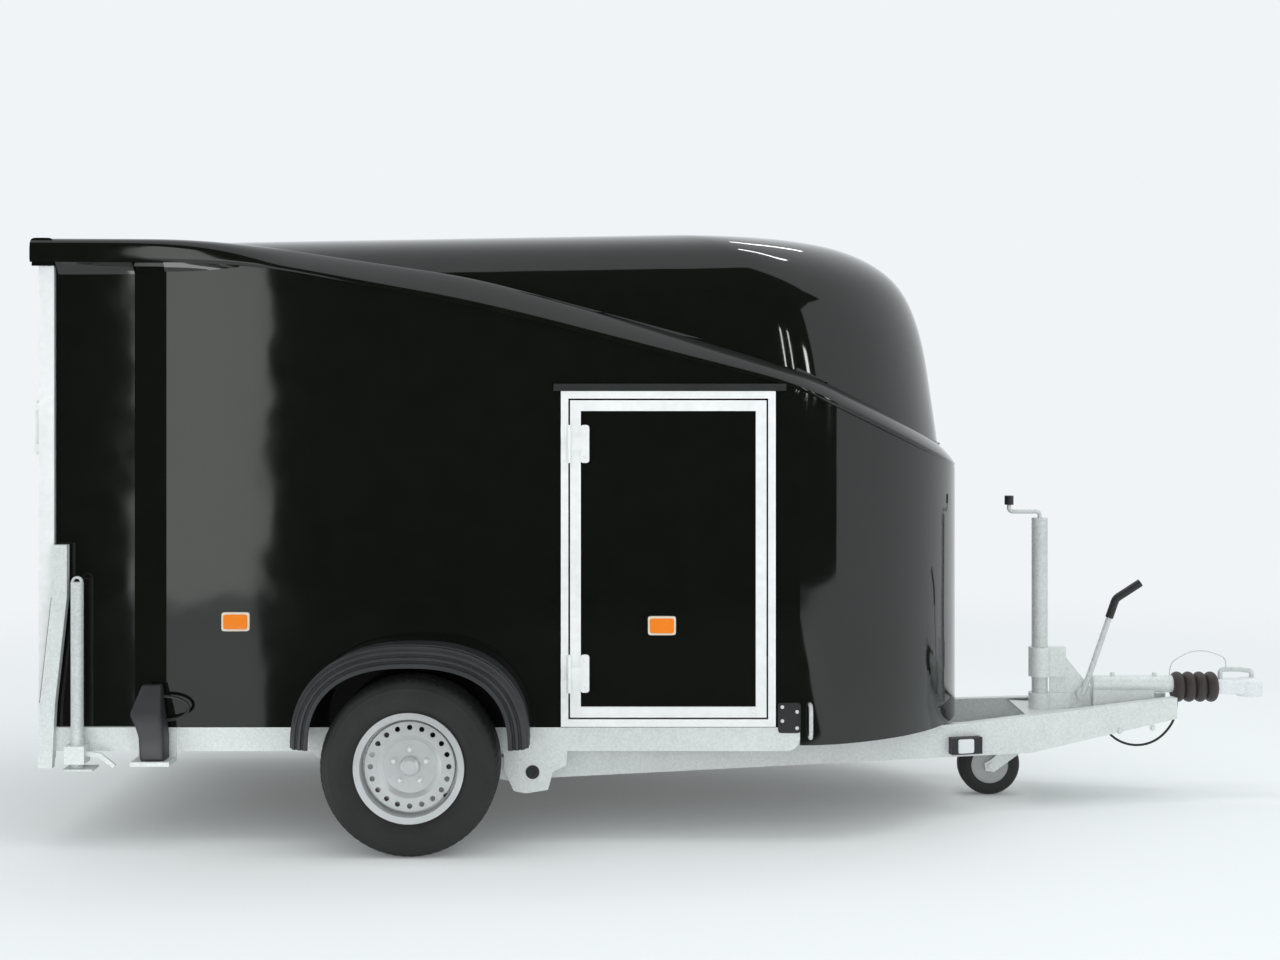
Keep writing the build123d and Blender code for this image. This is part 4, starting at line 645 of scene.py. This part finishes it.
def tyre(side):
    """Tyre as a section turned about the axle, with tread cut from the crown.

    The section is a smooth line through rows of (inset, radius), mirrored across the crown. The radius
    loses a groove's depth within half a groove's width of four rings, a slot's on the shoulders where a
    slanted saw wave of the turn angle is below 0.18, and a sipe's between the rings where that wave, moved
    by half its length, is below 0.1. Two bell-shaped ridges swell each sidewall.
    """
    inset, radius = HALF_SECTION.T
    key = np.arange(len(inset))
    fine = np.linspace(0, len(inset) - 1, 44)
    width = np.interp(fine, key, inset)
    high = np.interp(fine, key, radius)
    kernel = np.array((1, 2, 1)) / 4
    width[1:-1] = np.convolve(width, kernel, "valid")
    high[1:-1] = np.convolve(high, kernel, "valid")
    flank = np.stack([TYRE_WIDE / 2 - width, high], -1)
    crown_y = np.linspace(flank[-1, 0], -flank[-1, 0], 58)[1:-1]
    crown = np.stack([crown_y, TYRE_R - CROWN_DROP * (crown_y / TREAD_HALF) ** 2], -1)
    y, r = np.concatenate([flank, crown, (flank * (-1, 1))[::-1]]).T
    turn = np.linspace(0, 2 * pi, 384, endpoint=False)[None]
    y = y[:, None]
    off = np.abs(y)
    rings = np.min(np.abs(off - np.array(GROOVE_PLACES)[:, None, None]), axis=0) < GROOVE / 2
    saw = np.mod(SLOTS * turn / (2 * pi) + SLOT_SLANT * off, 1.0)
    slots = (off > SLOT_BAND[0]) & (off < SLOT_BAND[1]) & (saw < SLOT_SHARE)
    sipes = (off > SIPE_BAND[0]) & (off < SIPE_BAND[1]) & (np.mod(saw + 0.5, 1.0) < SIPE_SHARE)
    tread = r[:, None] > TREAD_FROM
    ridge = sum(rise * np.exp(-((r - at) / RIDGE_HALF) ** 2) for rise, at in (RIDGE_IN, RIDGE_OUT))
    y = y + np.sign(y) * ridge[:, None]
    cut = np.where(rings, GROOVE_DEEP, np.where(slots, SLOT_DEEP, np.where(sipes, SIPE_DEEP, 0.0)))
    r = r[:, None] - tread * cut
    return np.stack([AXLE + r * np.cos(turn), side * TYRE_MID + y + 0 * turn, TYRE_R + r * np.sin(turn)], -1)


tyre_rubber = finish(
    "tyre_rubber", moulded_grain,
    {"Grain": 500.0, "Dark": (0.009, 0.010, 0.009, 1), "Light": (0.024, 0.026, 0.024, 1),
     "Smooth": 0.6, "Rough": 0.8},
    bump=0.0003,
)
for side, hand in ((-1, "right"), (1, "left")):
    grid = tyre(side)
    grid = np.concatenate([grid, grid[:1]])
    made = piece("tyre_tread_" + hand, [grid], "wheel_" + hand, tyre_rubber, crease=48.0)
    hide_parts("tyre_" + hand)

# Wheels: pressed steel discs with a ring of vent holes, welded into rolled rims and painted
# silver, five bolts and a rubber valve; behind them cast drums.
wheel_paint = finish(
    "silver_wheel_paint", moulded_grain,
    {"Grain": 1500.0, "Dark": (0.52, 0.535, 0.535, 1), "Light": (0.72, 0.74, 0.74, 1),
     "Smooth": 0.26, "Rough": 0.38},
    bump=0.0001, Metallic=0.5,
)
coat(wheel_paint, "rim_right", "rim_left")
cast_iron = finish(
    "cast_iron_drum", moulded_grain,
    {"Grain": 240.0, "Dark": (0.05, 0.048, 0.046, 1), "Light": (0.10, 0.096, 0.092, 1),
     "Smooth": 0.5, "Rough": 0.75},
    bump=0.0006,
)
coat(cast_iron, "hub_right", "hub_left")
black_rubber = finish(
    "black_rubber", moulded_grain,
    {"Grain": 600.0, "Dark": (0.026, 0.019, 0.018, 1), "Light": (0.050, 0.038, 0.036, 1),
     "Smooth": 0.42, "Rough": 0.6},
    bump=0.0003,
)
DISC_Y, BOLT_RING, BOLT_COUNT = 0.9305, 0.056, 5
WHEEL_BOLT = [(0, 0), (0, 0.0115), (0.003, 0.0115), (0.005, 0.0085), (0.014, 0.0085), (0.016, 0.007),
              (0.016, 0)]
VALVE_R, VALVE_TURN, VALVE_Y = 0.148, 0.9, 0.928
STEM = [(0, 0), (0, 0.006), (0.012, 0.005), (0.020, 0.0035), (0.021, 0.0045), (0.030, 0.0045), (0.031, 0.0)]
for side, hand in ((-1, "right"), (1, "left")):
    t = np.arange(BOLT_COUNT) * 2 * pi / BOLT_COUNT + pi / 2
    seats = np.stack([AXLE + BOLT_RING * np.cos(t), np.full(BOLT_COUNT, side * DISC_Y),
                      TYRE_R + BOLT_RING * np.sin(t)], -1)
    piece("wheel_bolts_" + hand, list(turned(seats, (0, side, 0), WHEEL_BOLT, 6, (0, 0, 1))), "wheel_" + hand,
          galvanised)
    valve = (AXLE + VALVE_R * np.sin(VALVE_TURN), side * VALVE_Y, TYRE_R - VALVE_R * np.cos(VALVE_TURN))
    piece("wheel_valve_" + hand, list(turned([valve], (0, side, 0), STEM, 14, (0, 0, 1))), "wheel_" + hand,
          black_rubber)

# Overrun coupling: a drawn steel tube in a saddle, rubber bellows over the sliding shank, a
# cast head with a bent bar handle, and bolts through the saddle.
steel_wire = finish(
    "zinc_plated_steel", zinc_spangle,
    {"Cells": 150.0, "Dark": (0.50, 0.53, 0.52, 1), "Light": (0.66, 0.69, 0.68, 1),
     "Smooth": 0.34, "Rough": 0.5},
    bump=0.0003, Metallic=0.15,
)
cast_coupling = finish(
    "plated_casting", zinc_spangle,
    {"Cells": 300.0, "Dark": (0.68, 0.71, 0.72, 1), "Light": (0.86, 0.89, 0.90, 1),
     "Smooth": 0.3, "Rough": 0.48},
    bump=0.0008, Metallic=0.15,
)
coat(cast_coupling, "coupling_head")
coat(black_rubber, "bellows")
coat(black_plastic, "handbrake_grip", "crank_knob")
coat(steel_wire, "handbrake_lever", "jockey_tube", "jockey_crank", "grab_handles", "coupling_handle")
HOUSING_BOLTS, HOUSING_BOLT_R, HOUSING_BOLT_HIGH, BOLT_SUNK = (2.548, 2.706), 0.0085, 0.012, 0.0005
CLIPS, CLIP_R, CLIP_THICK, CLIP_HALF, SHANK_Z = (2.778, 2.934), 0.0445, 0.004, 0.004, 0.404
tube_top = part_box("overrun_housing")[1][2]
seats = [(AXLE + x, 0, tube_top - BOLT_SUNK) for x in HOUSING_BOLTS]
housing_bolts = turned(seats, (0, 0, 1), bolt_profile(HOUSING_BOLT_R, HOUSING_BOLT_HIGH), 6, (1, 0, 0))
piece("housing_bolts", list(housing_bolts), "trailer", galvanised)
inner = CLIP_R - CLIP_THICK
band = [(-CLIP_HALF, inner), (-CLIP_HALF, CLIP_R), (CLIP_HALF, CLIP_R), (CLIP_HALF, inner),
        (-CLIP_HALF, inner)]
clips = turned([(AXLE + x, 0, SHANK_Z) for x in CLIPS], (1, 0, 0), band, 48, (0, 0, 1))
piece("bellows_clips", list(clips), "trailer", steel_wire)

# Jockey wheel: a plated leg held in a clamp, a pressed fork that swivels under it, and a solid
# rubber tyre on a grey plastic hub, with a nut on each side of the fork.
coat(galvanised, "jockey_fork")
coat(tyre_rubber, "jockey_tyre")
castor_hub = finish(
    "castor_hub", moulded_grain,
    {"Grain": 400.0, "Dark": (0.30, 0.31, 0.31, 1), "Light": (0.42, 0.43, 0.43, 1),
     "Smooth": 0.4, "Rough": 0.55},
    bump=0.0003,
)
coat(castor_hub, "jockey_rim")
NUT_X, NUT_Y, NUT_Z, NUT_R, NUT_HIGH = 2.076, 0.056, 0.1155, 0.0105, 0.009
nuts = []
for side in (-1, 1):
    seat = (AXLE + NUT_X, side * NUT_Y, NUT_Z)
    nuts += list(turned([seat], (0, side, 0), bolt_profile(NUT_R, NUT_HIGH), 6, (0, 0, 1)))
piece("castor_nuts", nuts, "jockey_swivel", galvanised)

# Front position lamps: clear lenses with a fine prism pattern in black plastic housings, fixed to
# the outer faces of the drawbar arms.
coat(black_plastic, "front_lamps")
clear_lens = finish("clear_lens", prisms, {"Dark": (0.62, 0.66, 0.68, 1), "Light": (0.86, 0.88, 0.89, 1)},
                    bump=0.0003)
FRONT_X, FRONT_Z, FRONT_OUT = 1.930, 0.240, 0.030
FRONT_WIDE, FRONT_HIGH, FRONT_CORNER = 0.062, 0.052, 0.010
FRONT_LENS = [(0, 0), (0, 1), (0.004, 1), (0.007, 0.94), (0.009, 0.6), (0.0095, 0)]
lenses = []
for side in (-1, 1):
    outward = np.array((-arm_run[1], side * arm_run[0], 0))
    seat = np.array(on_arm(FRONT_X, FRONT_Z, side)) + FRONT_OUT * outward
    lenses.append(rounded_plate(seat, FRONT_WIDE, FRONT_HIGH, FRONT_CORNER, FRONT_LENS, outward, (0, 0, 1)))
piece("front_lamp_lenses", lenses, "trailer", clear_lens)

# Rear ramp: an aluminium frame round a black glass-fibre board, hung between cranked posts and
# closed by two bar latches. A thin black strip runs down the sloping rear edge of each post.
coat(bright_aluminium, "ramp_frame", "ramp_latches")
coat(black_gelcoat, "ramp_panel")
STRIP_TOP, STRIP_FOOT, STRIP_Y = (-1.2232, 0.832), (-1.2630, 0.478), 0.781  # ends: from the axle, height
STRIP_THICK, STRIP_BROAD, STRIP_STEPS = 0.005, 0.011, 12
strip_x = np.linspace(AXLE + STRIP_TOP[0], AXLE + STRIP_FOOT[0], STRIP_STEPS)[:, None]
strip_z = np.linspace(STRIP_TOP[1], STRIP_FOOT[1], STRIP_STEPS)[:, None]
t = np.linspace(0, 2 * pi, 12, endpoint=False)
strips = []
for side in (-1, 1):
    strip_y = side * STRIP_Y + STRIP_BROAD * np.sin(t)
    strip = np.broadcast_arrays(strip_x + STRIP_THICK * np.cos(t), strip_y, strip_z)
    strips.append(closed_ends(np.stack(strip, -1)))
piece("post_edge_strips", strips, "trailer", black_rubber)

# Tail lamps: combined lamps in black plastic housings on the rear beam, each with a red, an amber
# and a clear lens side by side.
coat(black_plastic, "tail_lamps")
red_lens = finish("red_lens", prisms, {"Dark": (0.32, 0.008, 0.008, 1), "Light": (0.52, 0.016, 0.014, 1)},
                  bump=0.0003)
TAIL_FIELDS = [("red", 0.551, 0.084, red_lens, "red_lens"), ("amber", 0.629, 0.062, amber_lens, "amber_lens"),
               ("clear", 0.678, 0.030, clear_lens, "clear_lens")]
FIELD_Z, FIELD_HIGH, FIELD_CORNER = 0.346, 0.062, 0.008
FIELD_LENS = [(-0.001, 0), (-0.001, 1), (0.003, 1), (0.005, 0.95), (0.006, 0.6), (0.0062, 0)]
tail_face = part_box("tail_lamps")[0][0]
for label, y, wide, lens, slot in TAIL_FIELDS:
    field = [rounded_plate((tail_face, side * y, FIELD_Z), wide, FIELD_HIGH, FIELD_CORNER, FIELD_LENS,
                           (-1, 0, 0), (0, 0, 1)) for side in (-1, 1)]
    piece("tail_lens_" + label, field, "trailer", lens)

# Prop stands: plated steel tubes with welded foot plates, which slide in clamps at the rear
# corners of the chassis.
coat(steel_wire, "prop_right", "prop_left")

# Cables: a rubber-sheathed lead that hangs from the drawbar plate up to its plug, and a thin
# safety cable from the housing to the coupling, both free between their ends.
cable_black = finish(
    "cable_sheath", moulded_grain,
    {"Grain": 900.0, "Dark": (0.012, 0.012, 0.012, 1), "Light": (0.022, 0.022, 0.022, 1),
     "Smooth": 0.4, "Rough": 0.55},
    bump=0.0001,
)
coat(black_plastic, "cable_plug")


def cable(name, points, radius, material):
    """Round cable on a smooth curve whose control points are the route's points."""
    curve = bpy.data.curves.new(name, "CURVE")
    curve.dimensions = "3D"
    line = curve.splines.new("NURBS")
    line.points.add(len(points) - 1)
    line.points.foreach_set("co", np.column_stack([points, np.ones(len(points))]).ravel())
    line.order_u = 3
    line.use_endpoint_u = True
    line.resolution_u = 12
    curve.bevel_depth = radius
    curve.bevel_resolution = 4
    curve.use_fill_caps = True
    curve.materials.append(material)
    made = bpy.data.objects.new(name, curve)
    bpy.context.collection.objects.link(made)
    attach(made, "trailer")
    return made


LEAD = [(1.6035, 0, 0.316), (1.6035, 0, 0.258), (1.6495, 0.002, 0.204), (1.7155, 0.006, 0.179),
        (1.7835, 0.012, 0.184), (1.8415, 0.025, 0.215), (1.8895, 0.046, 0.268), (1.9085, 0.076, 0.327),
        (1.9085, 0.076, 0.372)]
lead = cable("connecting_lead", LEAD, radius=0.0045, material=cable_black)
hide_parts("electric_cable")
SAFETY = [(1.8575, 0, 0.447), (1.8575, 0, 0.487), (1.8895, -0.006, 0.517), (1.9415, -0.008, 0.541),
          (1.9955, -0.006, 0.541), (2.0435, -0.003, 0.525), (2.0715, 0, 0.511), (2.0715, 0, 0.479)]
safety = cable("safety_cable", SAFETY, radius=0.002, material=steel_wire)
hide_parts("breakaway_cable")


# Studio: a pale floor that runs out into a white room, a wide soft lamp and two small tubes above, a
# fill lamp in front, and a level camera. Dark curtains and aprons and bright cards, which only the
# gloss sees, stand where the body mirrors them.
def stage_sheet(name, corners, material):
    """Flat four-cornered stage surface."""
    mesh = bpy.data.meshes.new(name)
    mesh.from_pydata(corners, [], [(0, 1, 2, 3)])
    mesh.materials.append(material)
    made = bpy.data.objects.new(name, mesh)
    bpy.context.collection.objects.link(made)
    return made


def lying(outer_x, inner_x, y, z):
    """Corners of a level sheet: the x range of its outer and inner edges, their two y places, its height."""
    return [(outer_x[0], y[0], z), (outer_x[1], y[0], z), (inner_x[1], y[1], z), (inner_x[0], y[1], z)]


def upright(x, y, z):
    """Corners of an upright sheet: its x range, its y place, its z range."""
    return [(x[0], y, z[0]), (x[1], y, z[0]), (x[1], y, z[1]), (x[0], y, z[1])]


WHITE = (0.875, 0.905, 0.930, 1)
floor_paint = bpy.data.materials.new("floor_paint")
floor_paint.use_nodes = True
tree = floor_paint.node_tree
shader = tree.nodes["Principled BSDF"]
shader.inputs["Roughness"].default_value = 0.75
shader.inputs["Specular IOR Level"].default_value = 0.0
shader.inputs["Base Color"].default_value = (0.87, 0.90, 0.89, 1)
place = add(tree, "TexCoord")
span = add(tree, "VectorMath", {0: place.outputs["Object"]}, operation="LENGTH")
far = add(tree, "MapRange",
          {"Value": span.outputs["Value"], "From Min": 2.6, "From Max": 7.5, "To Min": 0.08},
          interpolation_type="SMOOTHSTEP")
glow = add(tree, "Emission", {"Color": WHITE, "Strength": 1.0})
fade = add(tree, "MixShader", {0: far.outputs[0], 1: shader.outputs[0], 2: glow.outputs[0]})
tree.links.new(fade.outputs[0], tree.nodes["Material Output"].inputs[0])
FLOOR = (-60.0, 60.0)
stage_sheet("floor", lying(FLOOR, FLOOR, FLOOR, 0), floor_paint)

dark_side = bpy.data.materials.new("dark_side")
dark_side.use_nodes = True
shader = dark_side.node_tree.nodes["Principled BSDF"]
shader.inputs["Base Color"].default_value = (0.02, 0.022, 0.018, 1)
shader.inputs["Roughness"].default_value = 1.0
CURTAIN_Y, CURTAIN_TOP, CURTAIN_X = -7.8, 6.5, (-9.0, 6.9)
REAR_X, MAIN_X = (CURTAIN_X[0], -3.76), (-2.83, CURTAIN_X[1])  # each side of a bright doorway
HEAD_INNER = -3.3
APRON_INNER, APRON_FRONT, APRON_Z = -2.45, 1.3, 0.004
DOORWAY_INNER = (-2.313, -1.757)  # the same gap at the aprons' inner edge
apron_y = (CURTAIN_Y, APRON_INNER)
DARK_CARDS = [
    ("curtain_rear", upright(REAR_X, CURTAIN_Y, (0, CURTAIN_TOP))),
    ("curtain_main", upright(MAIN_X, CURTAIN_Y, (0, CURTAIN_TOP))),
    ("curtain_head", lying(CURTAIN_X, CURTAIN_X, (CURTAIN_Y, HEAD_INNER), CURTAIN_TOP)),
    ("apron_rear", lying(REAR_X, (REAR_X[0], DOORWAY_INNER[0]), apron_y, APRON_Z)),
    ("apron_main", lying((MAIN_X[0], APRON_FRONT), (DOORWAY_INNER[1], APRON_FRONT), apron_y, APRON_Z)),
]
cards = [stage_sheet(name, corners, dark_side) for name, corners in DARK_CARDS]


def bright(name, strength):
    """Evenly lit surface."""
    made = bpy.data.materials.new(name)
    made.use_nodes = True
    glow = add(made.node_tree, "Emission", {"Color": (0.96, 1.0, 0.97, 1), "Strength": strength})
    made.node_tree.links.new(glow.outputs[0], made.node_tree.nodes["Material Output"].inputs[0])
    return made


door_light = bright("door_light", 1.9)
strip_light = bright("strip_light", 14.0)
low_light = bright("low_light", 4.5)
BEHIND, BEFORE = CURTAIN_Y - 0.1, CURTAIN_Y + 0.1
FLOOR_STRIP_X, FLOOR_STRIP_Y, FLOOR_STRIP_Z = (-2.4, -1.5), (-1.75, -1.2), 0.006
BRIGHT_CARDS = [
    ("floor_strip", lying(FLOOR_STRIP_X, FLOOR_STRIP_X, FLOOR_STRIP_Y, FLOOR_STRIP_Z), low_light),
    ("rear_doorway", upright((-3.8, -2.8), BEHIND, (0.0, CURTAIN_TOP)), door_light),
    ("strip_one", upright((1.70, 1.86), BEFORE, (1.5, 3.3)), strip_light),
    ("strip_two", upright((2.75, 2.90), BEFORE, (1.5, 3.4)), strip_light),
    ("strip_three", upright((5.0, 5.5), BEFORE, (1.45, 3.2)), strip_light),
]
cards += [stage_sheet(name, corners, light) for name, corners, light in BRIGHT_CARDS]
for card in cards:
    card.visible_camera = False
    card.visible_diffuse = False
    card.visible_shadow = False
    card.visible_transmission = False

room = bpy.data.worlds.new("white_room")
bpy.context.scene.world = room
room.use_nodes = True
tree = room.node_tree
ray = add(tree, "LightPath")
seen = add(tree, "Math", {0: ray.outputs["Is Camera Ray"], 1: ray.outputs["Is Glossy Ray"]},
           operation="MAXIMUM")
through = add(tree, "Math", {0: seen.outputs[0], 1: ray.outputs["Is Transmission Ray"]}, operation="MAXIMUM")
strength = add(tree, "MapRange", {"Value": through.outputs[0], "To Min": 0.92, "To Max": 1.0})
sky = tree.nodes["Background"]
sky.inputs["Color"].default_value = WHITE
tree.links.new(strength.outputs[0], sky.inputs["Strength"])

LAMPS = [
    ("ceiling_lamp", (-0.2, -0.6, 5.2), (0, 0, 0), 6.4, 3.0, 80.0),
    ("front_fill", (0.0, -6.6, 1.3), (pi / 2, 0, 0), 6.0, 1.6, 90.0),
    ("tube_near", (1.0, 0.38, 4.5), (0, 0, 0), 1.0, 0.10, 8.0),
    ("tube_far", (1.0, 2.6, 4.5), (0, 0, 0), 1.0, 0.10, 8.0),
]  # name, place, turn, width, depth, watts
for name, spot, turn, wide, deep, watts in LAMPS:
    lamp = bpy.data.lights.new(name, "AREA")
    lamp.shape = "RECTANGLE"
    lamp.size, lamp.size_y, lamp.energy = wide, deep, watts
    holder = bpy.data.objects.new(name, lamp)
    bpy.context.collection.objects.link(holder)
    holder.location, holder.rotation_euler = spot, turn
    holder.visible_glossy = name.startswith("tube")
    holder.visible_camera = False

camera = bpy.data.objects.new("camera", bpy.data.cameras.new("camera"))
bpy.context.collection.objects.link(camera)
camera.location = (-0.1495, -7.07, 1.559)
camera.rotation_euler = (radians(90.0), 0, 0)
camera.data.shift_y = -0.0766
camera.data.sensor_width = 36.0
camera.data.lens = 52.45
bpy.context.scene.camera = camera
bpy.context.scene.view_settings.view_transform = "Standard"
